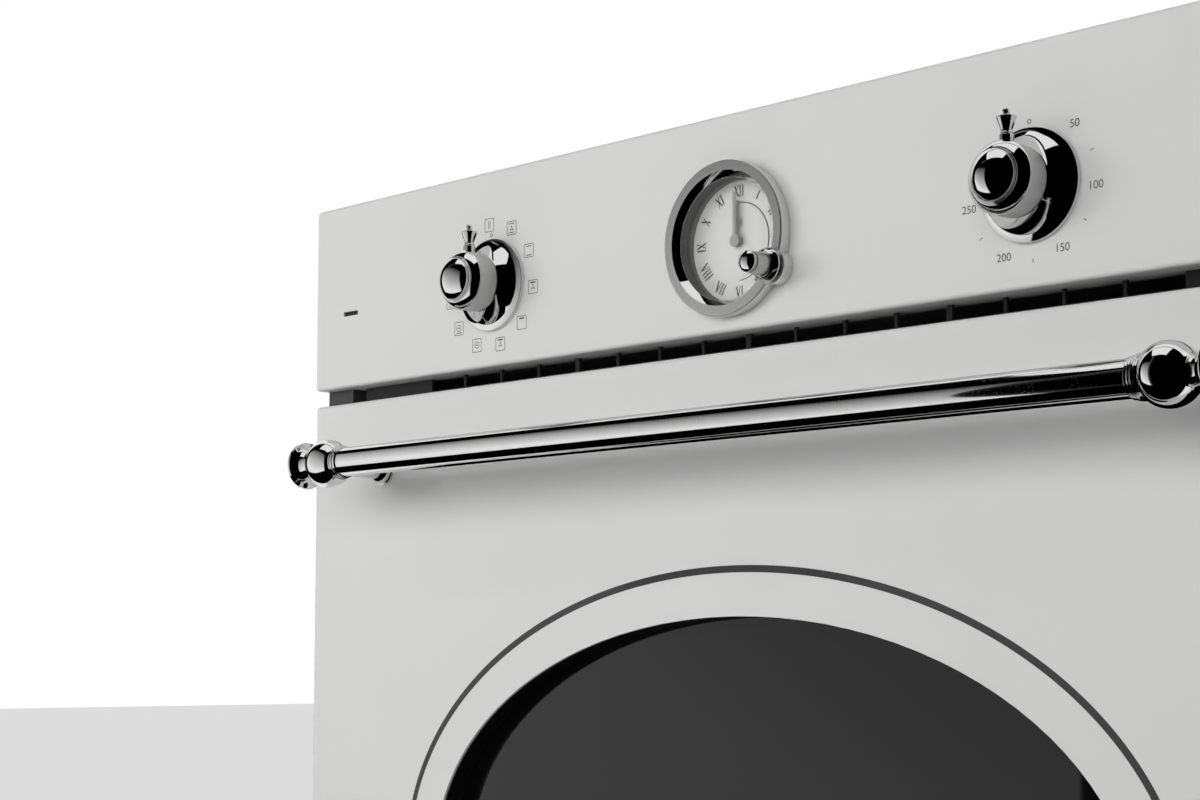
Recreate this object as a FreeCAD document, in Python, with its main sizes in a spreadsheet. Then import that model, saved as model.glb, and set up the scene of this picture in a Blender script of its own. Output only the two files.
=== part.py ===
import FreeCAD, Part
import math
import os

import Sketcher
from FreeCAD import Placement, Rotation, Vector

# Built-in oven, 60 cm wide, with an enamelled front, turned metal controls and an elliptical window.
# Frame: +X to the right of someone facing the oven, +Y into the cabinet, +Z up.
# The origin lies under the middle of the whole oven, on the surface that the base plate rests on.
# Depths in the text below run backwards from the front faces of the control panel and the door.

# Driving dimensions in millimetres
drivingSizes = {
    # Control panel: a pressed pan with a dark backing plate
    "panelWidth": 597.0,
    "panelHeight": 97.3,
    "panelDepth": 18.0,
    "panelSkin": 1.5,
    "panelGap": 8.6,
    "edgeRound": 2.0,
    # Door: a pressed pan that carries the glass, the handle and the hinge brackets
    "doorInset": 1.0,
    "doorHeight": 486.0,
    "doorDepth": 18.0,
    "doorSkin": 1.5,
    "doorBottom": 3.0,
    # Window: an elliptical recess with dark glass at its bottom
    "windowSemiWidth": 197.0,
    "windowSemiHeight": 115.0,
    "windowDrop": 239.4,
    "windowRecess": 12.0,
    "collarWall": 2.5,
    "collarFlange": 14.0,
    "collarFlangeThickness": 1.2,
    "windowGlassThickness": 4.0,
    # Inner door: side channels, top trim and the inner pane
    "innerGlassInset": 17.0,
    "innerGlassBottom": 58.0,
    "innerGlassDrop": 26.0,
    "innerGlassThickness": 4.0,
    "innerGlassDepth": 32.0,
    "glassFit": 0.3,
    "channelWidth": 14.0,
    "channelSheet": 1.5,
    "channelLip": 3.7,
    "topTrimHeight": 6.0,
    "topTrimSlotLength": 30.0,
    "topTrimSlotWidth": 5.0,
    # Handle
    "handleStandoff": 37.5,
    "handleDrop": 45.2,
    "barRadius": 7.25,
    "barInset": 71.5,
    "collarRadius": 8.7,
    "collarLength": 3.0,
    "bulbRadius": 12.0,
    "bulbOffset": 13.5,
    "bulbReach": 9.6,
    "neckRadius": 6.2,
    "neckOffset": 25.5,
    "flareRadius": 12.0,
    "flareOffset": 33.6,
    "flareHollow": 9.0,
    "flareRim": 1.4,
    "flareDome": 2.0,
    "postRadius": 5.4,
    "postSeat": 10.0,
    "postFootRadius": 7.6,
    "postFootLength": 5.0,
    "postFlangeRadius": 8.2,
    "postFlangeLength": 1.2,
    "postFit": 0.05,
    # Door hinges
    "hingeInset": 39.0,
    "hingeDepth": 9.5,
    "hingeHeight": 10.0,
    "hingePinRadius": 3.0,
    "hingePinLength": 24.0,
    "hingeFit": 0.05,
    "hingeEyeRadius": 5.0,
    "hingeArmThickness": 5.0,
    "hingeArmHeight": 8.0,
    "hingeFootWidth": 24.0,
    "hingeFootHeight": 32.0,
    "hingeFootThickness": 2.0,
    "hingeCheekGap": 12.0,
    "hingeCheekThickness": 3.0,
    "hingeCheekHeight": 55.0,
    "hingeCheekReach": 5.5,
    "hingeWebThickness": 2.0,
    "hingeNotchMargin": 1.5,
    # Carcass: sheet-metal casing behind the front
    "casingInset": 19.5,
    "casingDrop": 11.9,
    "carcassRear": 555.0,
    "sheet": 1.0,
    "baseFlange": 15.0,
    "ventSlotLength": 60.0,
    "ventSlotWidth": 5.0,
    "ventSlotPitch": 14.0,
    # Front frame: recessed plate, steps and the flanges that stop on the cabinet
    "stopDepth": 22.0,
    "frameDepth": 40.0,
    "flangeReach": 13.0,
    "flangeFoot": 20.0,
    "fixingReach": 6.5,
    "fixingSpacingZ": 280.0,
    "fixingCentre": 260.0,
    "fixingRadius": 2.6,
    "earLap": 3.0,
    "earInset": 2.0,
    "earDepth": 8.0,
    # Cavity and its insulation
    "cavityInset": 44.0,
    "cavityDrop": 56.0,
    "rearRoom": 114.0,
    "cavityBottom": 88.0,
    "cavityWall": 1.0,
    "insulation": 24.0,
    "elementSpace": 12.0,
    "gasketInset": 6.0,
    "gasketWidth": 10.0,
    "gasketGap": 0.4,
    # Vent grille in the gap between panel and door
    "grilleDepth": 11.5,
    "grilleThickness": 1.5,
    "grilleLift": 1.2,
    "grilleBlank": 52.0,
    "grilleInset": 10.0,
    "ribWidth": 1.5,
    "thickRibWidth": 2.8,
    # Control tray and cooling duct
    "trayInset": 0.5,
    "trayLift": 3.4,
    "trayLength": 131.0,
    "ductGap": 4.0,
    # Rotary controls
    "knobSpacing": 312.6,
    "knobHeight": 39.8,
    "rosetteRadius": 22.7,
    "rosetteRim": 1.8,
    "rosetteShoulder": 19.2,
    "rosetteShoulderHeight": 2.6,
    "rosetteTop": 10.8,
    "rosetteDome": 11.0,
    "rosetteBore": 6.3,
    "waistRadius": 14.2,
    "knobGap": 0.4,
    "beadStart": 20.8,
    "beadEnd": 22.0,
    "beadRadius": 14.6,
    "shoulderRadius": 11.3,
    "shoulderEnd": 23.9,
    "shoulderCurve": 4.0,
    "stepRadius": 9.9,
    "faceRadius": 9.5,
    "faceStart": 26.2,
    "faceEnd": 26.6,
    "spindleRadius": 3.0,
    "spindleSeat": 20.0,
    "spindleTail": 7.0,
    "spindleFit": 0.03,
    "bushRadius": 5.0,
    "bushFit": 0.2,
    "switchSize": 44.0,
    "switchDepth": 34.0,
    "thermostatRadius": 21.0,
    "thermostatDepth": 28.0,
    # Radial lever of a rotary control
    "leverReach": 15.5,
    "leverSeat": 10.0,
    "leverRadius": 3.0,
    "leverStemEnd": 18.2,
    "leverCollarRadius": 2.35,
    "leverCollarEnd": 19.1,
    "leverCupRadius": 2.5,
    "leverCupTopRadius": 4.0,
    "leverCupTop": 24.2,
    "leverNeckRadius": 0.9,
    "leverBallRadius": 1.6,
    "leverBallCentre": 26.2,
    # Clock
    "clockHeight": 40.6,
    "bezelRadius": 34.5,
    "bezelInner": 29.9,
    "bezelProud": 6.0,
    "bezelRound": 0.6,
    "spigotRadius": 31.0,
    "clockFit": 0.1,
    "dialDepth": 6.0,
    "dialThickness": 1.0,
    "dialRadius": 27.1,
    "dialConeRadius": 29.3,
    "dialConeDepth": 1.0,
    "clockGlassThickness": 1.4,
    "movementRadius": 35.5,
    "movementDepth": 38.0,
    "arborRadius": 1.0,
    "arborFit": 0.06,
    "pipeRadius": 2.0,
    "arborTail": 5.0,
    "minuteDepth": 2.6,
    "minuteLength": 22.0,
    "minuteWidth": 1.8,
    "hourDepth": 4.3,
    "hourLength": 18.0,
    "hourWidth": 2.0,
    "hourDiscOffset": 8.4,
    "hourDiscRadius": 2.2,
    "handThickness": 0.5,
    "hubRadius": 2.75,
    # Setting knob of the clock
    "setterOffsetX": 27.9,
    "setterOffsetZ": 16.1,
    "lugRadius": 8.0,
    "setterRingRadius": 6.3,
    "setterRingEnd": 10.5,
    "setterRingBore": 5.4,
    "setterRadius": 5.1,
    "setterStart": 9.3,
    "setterKnurlEnd": 15.0,
    "setterCapRadius": 4.8,
    "setterCapRound": 0.9,
    "setterEnd": 20.0,
    "setterShaftRadius": 1.5,
    "setterShaftSeat": 16.5,
    "setterShaftTail": 4.0,
    "setterTravel": 2.5,
    # Indicator windows
    "indicatorInset": 30.0,
    "indicatorHeight": 38.9,
    "indicatorLength": 12.0,
    "indicatorWidth": 2.4,
    "indicatorSink": 0.9,
    # Hot-air fan and its heater
    "fanRadius": 70.0,
    "fanDepth": 20.0,
    "fanHubRadius": 12.0,
    "fanBladeInner": 38.0,
    "fanBladeSheet": 1.2,
    "fanGap": 4.0,
    "fanShaftRadius": 4.0,
    "fanShaftFit": 0.05,
    "fanShaftHole": 6.0,
    "motorRadius": 36.0,
    "motorDepth": 52.0,
    "motorPlate": 100.0,
    "motorPlateThickness": 2.0,
    "motorShaftReach": 40.0,
    "ringRadius": 88.0,
    "ringRod": 3.5,
    "ringGap": 12.0,
    "baffleSideMargin": 50.0,
    "baffleEndMargin": 37.5,
    "baffleDepth": 32.0,
    "baffleHoleRadius": 5.0,
    "baffleHoleRing": 22.0,
    "baffleSlotLength": 150.0,
    "baffleSlotWidth": 9.0,
    # Tubular heating elements
    "elementRod": 3.25,
    "grillDrop": 22.0,
    "grillPitch": 70.0,
    "grillFront": 95.0,
    "grillRearGap": 46.0,
    "bottomFront": 90.0,
    "bottomRearGap": 41.0,
    # Lamp
    "lampInset": 24.0,
    "lampDrop": 42.0,
    "lampFlangeRadius": 19.0,
    "lampFlangeThickness": 3.0,
    "lampDomeRadius": 15.0,
    "lampDomeHeight": 13.0,
    # Side racks, shelf and tray
    "rackWire": 2.5,
    "railWire": 2.0,
    "wireSink": 0.3,
    "rackFront": 95.0,
    "rackRearGap": 56.0,
    "railFront": 80.0,
    "railRearGap": 41.0,
    "rackFoot": 17.0,
    "rackDrop": 28.0,
    "railFoot": 25.0,
    "railHead": 42.0,
    "railPitch": 13.0,
    "slideGap": 0.3,
    "shelfWire": 3.0,
    "shelfBarWire": 1.5,
    "shelfSideGap": 0.5,
    "shelfFront": 80.0,
    "shelfRearGap": 41.0,
    "panRim": 12.0,
    "panHeight": 24.0,
    "panSheet": 1.2,
    # Cooling blower
    "blowerWidth": 180.0,
    "blowerDepth": 100.0,
    "blowerHeight": 104.0,
    "blowerRearRoom": 85.0,
    "blowerSheet": 1.5,
    "blowerWheelRadius": 38.0,
    "blowerWheelLength": 150.0,
    "blowerBladeHeight": 9.0,
    "blowerBladeSheet": 1.2,
    "blowerShaftRadius": 3.0,
    "blowerShaftFit": 0.05,
    "blowerMotorRadius": 30.0,
    "blowerMotorLength": 36.0,
    # Rear inlet and casing screws
    "glandInset": 79.0,
    "glandDrop": 63.0,
    "glandLength": 12.0,
    "glandRadius": 10.0,
    "glandFlangeRadius": 15.0,
    "glandFlangeLength": 4.0,
    "glandTail": 8.0,
    "glandBore": 5.0,
    "glandFit": 0.1,
    "screwHeadRadius": 4.0,
    "screwHeadHeight": 2.2,
    "screwRadius": 2.0,
    "screwFit": 0.1,
    "screwLength": 7.0,
    "screwInset": 10.0,
}

# How often a feature repeats, and the rack levels that the shelf and the tray stand on
grilleBays = 16
shelfBays = 18
trimSlots = 11
floorSlots = 9
sideSlots = 5
rearSlots = 6
rackLevels = 5
shelfLevel = 3
trayLevel = 1
elementLegs = 6
fanBlades = 12
blowerBlades = 20
baffleRings = {1: 8, 2: 14}
baffleSlotSteps = (2, 4)

doc = FreeCAD.newDocument("BuiltInOven")
sheetObject = doc.addObject("Spreadsheet::Sheet", "Dimensions")


# A length that knows both its number and the sheet expression that gives it
class Size:
    def __init__(self, value, text):
        self.value = value
        self.text = text

    def __add__(self, other):
        return combine(self, "+", other)

    def __radd__(self, other):
        return combine(other, "+", self)

    def __sub__(self, other):
        return combine(self, "-", other)

    def __rsub__(self, other):
        return combine(other, "-", self)

    def __mul__(self, other):
        return combine(self, "*", other)

    def __rmul__(self, other):
        return combine(other, "*", self)

    def __truediv__(self, other):
        return combine(self, "/", other)

    def __neg__(self):
        return combine(0, "-", self)


def asSize(item):
    return item if isinstance(item, Size) else Size(float(item), repr(float(item)))


def combine(left, sign, right):
    left = asSize(left)
    right = asSize(right)
    results = {
        "+": left.value + right.value,
        "-": left.value - right.value,
        "*": left.value * right.value,
    }
    result = results[sign] if sign in results else left.value / right.value
    return Size(result, f"({left.text} {sign} {right.text})")


def root(amount):
    return Size(math.sqrt(amount.value), f"sqrt({amount.text})")


# The radius of a ball whose cap has this rim radius and this height
def capRadius(rim, height):
    return (rim * rim + height * height) / (2 * height)


# The sheet's cells, reached by name
class Dimensions:
    pass


size = Dimensions()
for row, (name, number) in enumerate(drivingSizes.items(), start=1):
    sheetObject.set(f"A{row}", name)
    sheetObject.set(f"B{row}", str(number))
    sheetObject.setAlias(f"B{row}", name)
    setattr(size, name, Size(number, f"Dimensions.{name}"))
doc.recompute()

sides = {"left": -1, "right": 1}
alongAxis = {
    "x": Rotation(Vector(0, 1, 0), 90),
    "y": Rotation(Vector(1, 0, 0), -90),
    "z": Rotation(),
}
# Turned pieces are revolved about their own Y axis, then pointed this way
turnedTowards = {
    "front": Rotation(Vector(0, 0, 1), 180),
    "rear": Rotation(),
    "up": Rotation(Vector(1, 0, 0), 90),
    "right": Rotation(Vector(0, 0, 1), -90),
    "left": Rotation(Vector(0, 0, 1), 90),
}

# Places worked out from the driving dimensions: widths
panelHalf = size.panelWidth / 2
doorWidth = size.panelWidth - 2 * size.doorInset
carcassHalf = panelHalf - size.casingInset
carcassInner = carcassHalf - size.sheet
flangeHalf = carcassHalf + size.flangeReach
innerGlassHalf = carcassHalf - size.innerGlassInset
hingeX = carcassHalf - size.hingeInset
barHalf = doorWidth / 2 - size.barInset
cavityHalf = carcassHalf - size.cavityInset
linerHalf = cavityHalf + size.cavityWall
rackInner = cavityHalf - 3 * size.rackWire
railX = rackInner - size.railWire + size.wireSink
setterX = size.setterOffsetX
glandX = carcassHalf - size.glandInset
# Depths
handleReach = size.handleStandoff + size.flareRadius
rearDepth = size.carcassRear + size.glandLength
frontY = (handleReach - rearDepth) / 2
frameRear = size.frameDepth + size.sheet
trayFront = size.panelDepth
trayRear = trayFront + size.sheet
cavityBack = size.carcassRear - size.rearRoom
linerBack = cavityBack + size.cavityWall
blanketBack = linerBack + size.insulation
shelfRear = cavityBack - size.shelfRearGap
blowerFront = size.carcassRear - size.blowerRearRoom - size.blowerDepth
# Heights
doorTop = size.doorBottom + size.doorHeight
panelBottom = doorTop + size.panelGap
panelTop = panelBottom + size.panelHeight
casingTop = panelTop - size.casingDrop
innerGlassTop = doorTop - size.innerGlassDrop
grilleBottom = doorTop + size.grilleLift
trayFloor = panelBottom + size.trayLift
cavityTop = doorTop - size.cavityDrop
linerBottom = size.cavityBottom - size.cavityWall
linerTop = cavityTop + size.cavityWall
blanketTop = linerTop + size.insulation
ductFloor = blanketTop + size.ductGap
ductTop = ductFloor + size.sheet
fanZ = (size.cavityBottom + cavityTop) / 2
rackBottom = size.cavityBottom + size.rackFoot
rackTop = cavityTop - size.rackDrop
knobZ = panelBottom + size.knobHeight
clockZ = panelBottom + size.clockHeight
setterZ = clockZ - size.setterOffsetZ
handleZ = panelBottom - size.handleDrop
windowZ = panelBottom - size.windowDrop
glandZ = casingTop - size.glandDrop

nodes = []


def depth(distance):
    return frontY + distance


def span(low, high):
    return (asSize(low), asSize(high))


def around(centre, width):
    return span(centre - width / 2, centre + width / 2)


def depths(low, high):
    return span(depth(low), depth(high))


def mirroredSpan(side, low, high):
    return span(low, high) if side > 0 else span(-high, -low)


def bind(target, path, amount):
    target.setExpression(path, asSize(amount).text)


def bindPlace(target, x, y, z):
    for axis, amount in zip("xyz", (x, y, z)):
        bind(target, f"Placement.Base.{axis}", amount)


def node(label, shape):
    shape.Label = label
    nodes.append(shape)
    return shape


def box(name, xSpan, ySpan, zSpan):
    block = doc.addObject("Part::Box", name)
    for side, (low, high) in zip(("Length", "Width", "Height"), (xSpan, ySpan, zSpan)):
        bind(block, side, high - low)
    bindPlace(block, xSpan[0], ySpan[0], zSpan[0])
    return block


# A round bar along one axis: the other two coordinates are given in X, Y, Z order
def rod(name, axis, radius, reach, place):
    bar = doc.addObject("Part::Cylinder", name)
    bar.Placement = Placement(Vector(), alongAxis[axis])
    bind(bar, "Radius", radius)
    bind(bar, "Height", reach[1] - reach[0])
    base = list(place)
    base.insert("xyz".index(axis), reach[0])
    bindPlace(bar, *base)
    return bar


def fuse(name, shapes):
    joined = doc.addObject("Part::MultiFuse", name)
    joined.Shapes = shapes
    joined.Refine = True
    return joined


def cut(name, base, tools):
    result = doc.addObject("Part::Cut", name)
    result.Base = base
    result.Tool = tools[0] if len(tools) == 1 else group(f"{name}Tools", tools)
    return result


def group(name, shapes):
    bundle = doc.addObject("Part::Compound", name)
    bundle.Links = shapes
    return bundle


# A flat elliptical disc that faces the front
def ellipseDisc(name, semiWidth, semiHeight, ySpan, z):
    outline = doc.addObject("Part::Ellipse", f"{name}Outline")
    outline.Placement = Placement(Vector(), Rotation(Vector(1, 0, 0), 90))
    bind(outline, "MajorRadius", semiWidth)
    bind(outline, "MinorRadius", semiHeight)
    bindPlace(outline, 0, ySpan[0], z)
    disc = doc.addObject("Part::Extrusion", name)
    disc.Base = outline
    disc.DirMode = "Custom"
    disc.Dir = Vector(0, 1, 0)
    disc.Solid = True
    bind(disc, "LengthFwd", ySpan[1] - ySpan[0])
    return disc


def originPlane(body, role):
    return next(item for item in body.Origin.OriginFeatures if item.Role == role)


# An arc from one corner to the next: a positive radius has its centre on the left of the way
def arcBetween(start, end, radius):
    chord = end - start
    middle = (start + end) / 2
    left = Vector(-chord.y, chord.x, 0).normalize()
    height = math.sqrt(radius ** 2 - (chord.Length / 2) ** 2)
    centre = middle + left * math.copysign(height, radius)
    first, last = (start, end) if radius > 0 else (end, start)
    angles = [math.atan2(p.y - centre.y, p.x - centre.x) for p in (first, last)]
    circle = Part.Circle(centre, Vector(0, 0, 1), abs(radius))
    return Part.ArcOfCircle(circle, angles[0], angles[1])


# A closed outline whose corners are tied to the sheet; a third number in a corner curves the way to it
def outlineSketch(body, name, plane, corners):
    sketch = body.newObject("Sketcher::SketchObject", name)
    sketch.AttachmentSupport = [(originPlane(body, plane), "")]
    sketch.MapMode = "FlatFace"
    corners = [tuple(asSize(amount) for amount in corner) for corner in corners]
    points = [Vector(corner[0].value, corner[1].value, 0) for corner in corners]
    ends = []
    for index, start in enumerate(points):
        following = (index + 1) % len(points)
        curve = corners[following][2] if len(corners[following]) > 2 else None
        if curve is None:
            edge = sketch.addGeometry(Part.LineSegment(start, points[following]))
            ends.append((edge, 1, 2))
        else:
            edge = sketch.addGeometry(arcBetween(start, points[following], curve.value))
            ends.append((edge, 1, 2) if curve.value > 0 else (edge, 2, 1))
            tie = sketch.addConstraint(Sketcher.Constraint("Radius", edge, abs(curve.value)))
            bind(sketch, f"Constraints[{tie}]", curve if curve.value > 0 else -curve)
    for index, (edge, begin, finish) in enumerate(ends):
        following = ends[(index + 1) % len(ends)]
        sketch.addConstraint(Sketcher.Constraint("Coincident", edge, finish, following[0], following[1]))
        for kind, axis, amount in zip(("DistanceX", "DistanceY"), (-2, -1), corners[index]):
            if amount.text == "0.0":
                sketch.addConstraint(Sketcher.Constraint("PointOnObject", edge, begin, axis))
            else:
                rule = Sketcher.Constraint(kind, -1, 1, edge, begin, amount.value)
                bind(sketch, f"Constraints[{sketch.addConstraint(rule)}]", amount)
    return sketch


# A lathe-turned piece: corners are (radius, distance along its axis)
def turned(name, corners, x, y, z, towards):
    body = doc.addObject("PartDesign::Body", name)
    body.Placement = Placement(Vector(), turnedTowards[towards])
    bindPlace(body, x, y, z)
    profile = outlineSketch(body, f"{name}Profile", "XY_Plane", corners)
    revolution = body.newObject("PartDesign::Revolution", f"{name}Revolution")
    revolution.Profile = profile
    revolution.ReferenceAxis = (profile, ["V_Axis"])
    revolution.Angle = 360.0
    profile.Visibility = False
    return body


# A block that faces the front, with its front edges and its corners rounded
def roundedBlock(name, width, height, thickness, bottom):
    body = doc.addObject("PartDesign::Body", name)
    bindPlace(body, 0, depth(thickness), bottom)
    half = width / 2
    corners = [(-half, 0), (half, 0), (half, height), (-half, height)]
    profile = outlineSketch(body, f"{name}Profile", "XZ_Plane", corners)
    pad = body.newObject("PartDesign::Pad", f"{name}Pad")
    pad.Profile = profile
    bind(pad, "Length", thickness)
    doc.recompute()
    rear = max(vertex.Point.y for vertex in pad.Shape.Vertexes)
    outer = []
    for index, edge in enumerate(pad.Shape.Edges, start=1):
        if any(vertex.Point.y < rear - thickness.value / 2 for vertex in edge.Vertexes):
            outer.append(f"Edge{index}")
    rounding = body.newObject("PartDesign::Fillet", f"{name}Rounding")
    rounding.Base = (pad, outer)
    bind(rounding, "Radius", size.edgeRound)
    return body


# A folded sheet pan that is open at the rear
def pressedPan(name, width, height, thickness, skin, bottom, openings):
    block = roundedBlock(f"{name}Block", width, height, thickness, bottom)
    inside = box(
        f"{name}Inside",
        around(0, width - 2 * skin),
        depths(skin, thickness + skin),
        span(bottom + skin, bottom + height - skin),
    )
    return cut(name, block, [inside] + openings)


# Control panel, tray and vent grille

def throughPanel(name, radius, x, z):
    reach = depths(-size.panelSkin, 2 * size.panelSkin)
    return rod(name, "y", radius, reach, (asSize(x), z))


def indicatorSpans(side):
    across = around(side * (panelHalf - size.indicatorInset), size.indicatorLength)
    return across, around(panelBottom + size.indicatorHeight, size.indicatorWidth)


def controlPanel():
    openings = [
        throughPanel("ClockHole", size.spigotRadius + size.clockFit, 0, clockZ),
        throughPanel("SetterHole", size.setterShaftRadius * 2, setterX, setterZ),
    ]
    for name, side in sides.items():
        knobX = side * size.knobSpacing / 2
        openings.append(throughPanel(f"{name}KnobHole", size.rosetteBore, knobX, knobZ))
        across, up = indicatorSpans(side)
        reach = depths(-size.panelSkin, 2 * size.panelSkin)
        openings.append(box(f"{name}IndicatorSlot", across, reach, up))
    pan = pressedPan(
        "ControlPanel", size.panelWidth, size.panelHeight,
        size.panelDepth, size.panelSkin, panelBottom, openings,
    )
    node("control_panel", pan)


def indicatorLenses():
    lenses = []
    for name, side in sides.items():
        across, up = indicatorSpans(side)
        lens = box(f"{name}Lens", across, depths(size.indicatorSink, 2 * size.panelSkin), up)
        lenses.append(lens)
    node("indicator_lenses", group("IndicatorLenses", lenses))


def controlTray():
    half = size.panelWidth / 2 - size.trayInset
    height = span(panelBottom + size.trayInset, panelTop - size.trayInset)
    reach = depths(trayFront, trayRear + size.trayLength)
    ceiling = casingTop - size.sheet
    floor = span(trayFloor, trayFloor + size.sheet)
    pieces = [
        box("TrayPlate", span(-half, half), depths(trayFront, trayRear), height),
        box("TrayFloor", span(-carcassInner, carcassInner), reach, floor),
    ]
    for name, side in sides.items():
        wall = mirroredSpan(side, carcassInner - size.sheet, carcassInner)
        pieces.append(box(f"{name}TrayWall", wall, reach, span(trayFloor, ceiling)))
    through = depths(trayFront - size.sheet, trayRear + size.sheet)
    holes = [rod("MovementHole", "y", size.movementRadius + size.bushFit, through, (asSize(0), clockZ))]
    for name, side in sides.items():
        place = (side * size.knobSpacing / 2, knobZ)
        holes.append(rod(f"{name}BushHole", "y", size.bushRadius + size.bushFit, through, place))
    node("control_tray", cut("ControlTray", fuse("TrayFolded", pieces), holes))


def ventGrille():
    half = carcassHalf - size.grilleInset
    opening = half - size.grilleBlank
    face = depths(size.grilleDepth, size.grilleDepth + size.grilleThickness)
    floorTop = grilleBottom + size.sheet
    bay = 2 * opening / grilleBays
    quarter = grilleBays // 4
    thick = {0, quarter, 2 * quarter, grilleBays - quarter, grilleBays}
    floorReach = depths(size.grilleDepth, frameRear)
    pieces = [box("GrilleFloor", span(-half, half), floorReach, span(grilleBottom, floorTop))]
    for name, side in sides.items():
        blank = mirroredSpan(side, opening, half)
        pieces.append(box(f"{name}GrilleBlank", blank, face, span(grilleBottom, panelBottom)))
    for index in range(grilleBays + 1):
        width = size.thickRibWidth if index in thick else size.ribWidth
        rib = around(bay * index - opening, width)
        pieces.append(box(f"GrilleRib{index}", rib, face, span(grilleBottom, panelBottom)))
    node("vent_grille", fuse("VentGrille", pieces))


# Rotary controls

def rosette(label, side):
    top = size.rosetteTop
    corners = [
        (size.rosetteBore, 0),
        (size.rosetteRadius, 0),
        (size.rosetteRadius, size.rosetteRim),
        (size.rosetteShoulder, size.rosetteShoulderHeight),
        (size.waistRadius, top, size.rosetteDome),
        (size.rosetteBore, top),
    ]
    knobX = side * size.knobSpacing / 2
    node(label, turned(label.title().replace("_", ""), corners, knobX, depth(0), knobZ, "front"))


def knob(label, side):
    name = label.title().replace("_", "")
    start = size.rosetteTop + size.knobGap
    seat = size.spindleSeat
    bore = size.spindleRadius + size.spindleFit
    corners = [
        (bore, start),
        (size.waistRadius, start),
        (size.waistRadius, size.beadStart),
        (size.beadRadius, size.beadStart),
        (size.beadRadius, size.beadEnd),
        (size.shoulderRadius, size.shoulderEnd, size.shoulderCurve),
        (size.stepRadius, size.shoulderEnd),
        (size.stepRadius, size.faceStart),
        (size.faceRadius, size.faceEnd),
        (0, size.faceEnd),
        (0, seat),
        (bore, seat),
    ]
    knobX = side * size.knobSpacing / 2
    body = turned(f"{name}Body", corners, knobX, depth(0), knobZ, "front")
    reach = span(knobZ + size.leverSeat, knobZ + 2 * size.waistRadius)
    place = (knobX, depth(-size.leverReach))
    hole = rod(f"{name}LeverHole", "z", size.leverRadius + size.spindleFit, reach, place)
    node(label, cut(name, body, [hole]))


def lever(label, side):
    neck = size.leverNeckRadius
    radius = size.leverBallRadius
    ballFoot = size.leverBallCentre - root(radius * radius - neck * neck)
    corners = [
        (0, size.leverSeat),
        (size.leverRadius, size.leverSeat),
        (size.leverRadius, size.leverStemEnd),
        (size.leverCollarRadius, size.leverStemEnd),
        (size.leverCollarRadius, size.leverCollarEnd),
        (size.leverCupRadius, size.leverCollarEnd),
        (size.leverCupTopRadius, size.leverCupTop),
        (neck, size.leverCupTop),
        (neck, ballFoot),
        (radius, size.leverBallCentre, radius),
        (0, size.leverBallCentre + radius, radius),
    ]
    place = (side * size.knobSpacing / 2, depth(-size.leverReach), knobZ)
    node(label, turned(label.title().replace("_", ""), corners, *place, "up"))


def spindle(label, side):
    reach = depths(-size.spindleSeat, trayRear + size.spindleTail)
    place = (side * size.knobSpacing / 2, knobZ)
    node(label, rod(label.title().replace("_", ""), "y", size.spindleRadius, reach, place))


def spindleBore(name, side):
    reach = depths(-size.bushRadius, trayRear + size.spindleTail + size.knobGap)
    place = (side * size.knobSpacing / 2, knobZ)
    return rod(name, "y", size.spindleRadius + size.spindleFit, reach, place)


def bush(name, side):
    reach = depths(trayFront - size.spindleTail, trayRear + size.spindleTail)
    return rod(name, "y", size.bushRadius, reach, (side * size.knobSpacing / 2, knobZ))


def functionSwitch():
    side = sides["left"]
    across = around(side * size.knobSpacing / 2, size.switchSize)
    block = box(
        "SwitchBlock", across, depths(trayRear, trayRear + size.switchDepth), around(knobZ, size.switchSize)
    )
    body = fuse("SwitchBody", [block, bush("SwitchBush", side)])
    node("function_switch", cut("FunctionSwitch", body, [spindleBore("SwitchBore", side)]))


def thermostat():
    side = sides["right"]
    place = (side * size.knobSpacing / 2, knobZ)
    can = rod(
        "ThermostatCan", "y", size.thermostatRadius, depths(trayRear, trayRear + size.thermostatDepth), place
    )
    body = fuse("ThermostatBody", [can, bush("ThermostatBush", side)])
    node("thermostat", cut("Thermostat", body, [spindleBore("ThermostatBore", side)]))


# Clock

def clockBezel():
    lugStart = -size.bezelProud
    corners = [
        (size.bezelInner, -size.panelSkin),
        (size.spigotRadius, -size.panelSkin),
        (size.spigotRadius, 0),
        (size.bezelRadius, 0),
        (size.bezelRadius, size.bezelProud - size.bezelRound),
        (size.bezelRadius - size.bezelRound, size.bezelProud, size.bezelRound),
        (size.bezelInner, size.bezelProud),
    ]
    ring = turned("BezelRing", corners, 0, depth(0), clockZ, "front")
    lug = rod("BezelLug", "y", size.lugRadius, depths(lugStart, 0), (setterX, setterZ))
    rim = rod(
        "SetterRing", "y", size.setterRingRadius, depths(-size.setterRingEnd, lugStart), (setterX, setterZ)
    )
    clearDial = rod(
        "DialClearance", "y", size.bezelInner, depths(lugStart, size.panelSkin), (asSize(0), clockZ)
    )
    solidLug = fuse("SolidLug", [cut("TrimmedLug", lug, [clearDial]), rim])
    bored = depths(-size.setterRingEnd - size.bezelProud, lugStart)
    pocket = rod("SetterPocket", "y", size.setterRingBore, bored, (setterX, setterZ))
    shaft = rod(
        "SetterShaftHole", "y", size.setterShaftRadius + size.arborFit,
        depths(-size.setterRingEnd, size.panelSkin), (setterX, setterZ),
    )
    node("clock_bezel", cut("ClockBezel", fuse("BezelAndLug", [ring, solidLug]), [pocket, shaft]))


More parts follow.
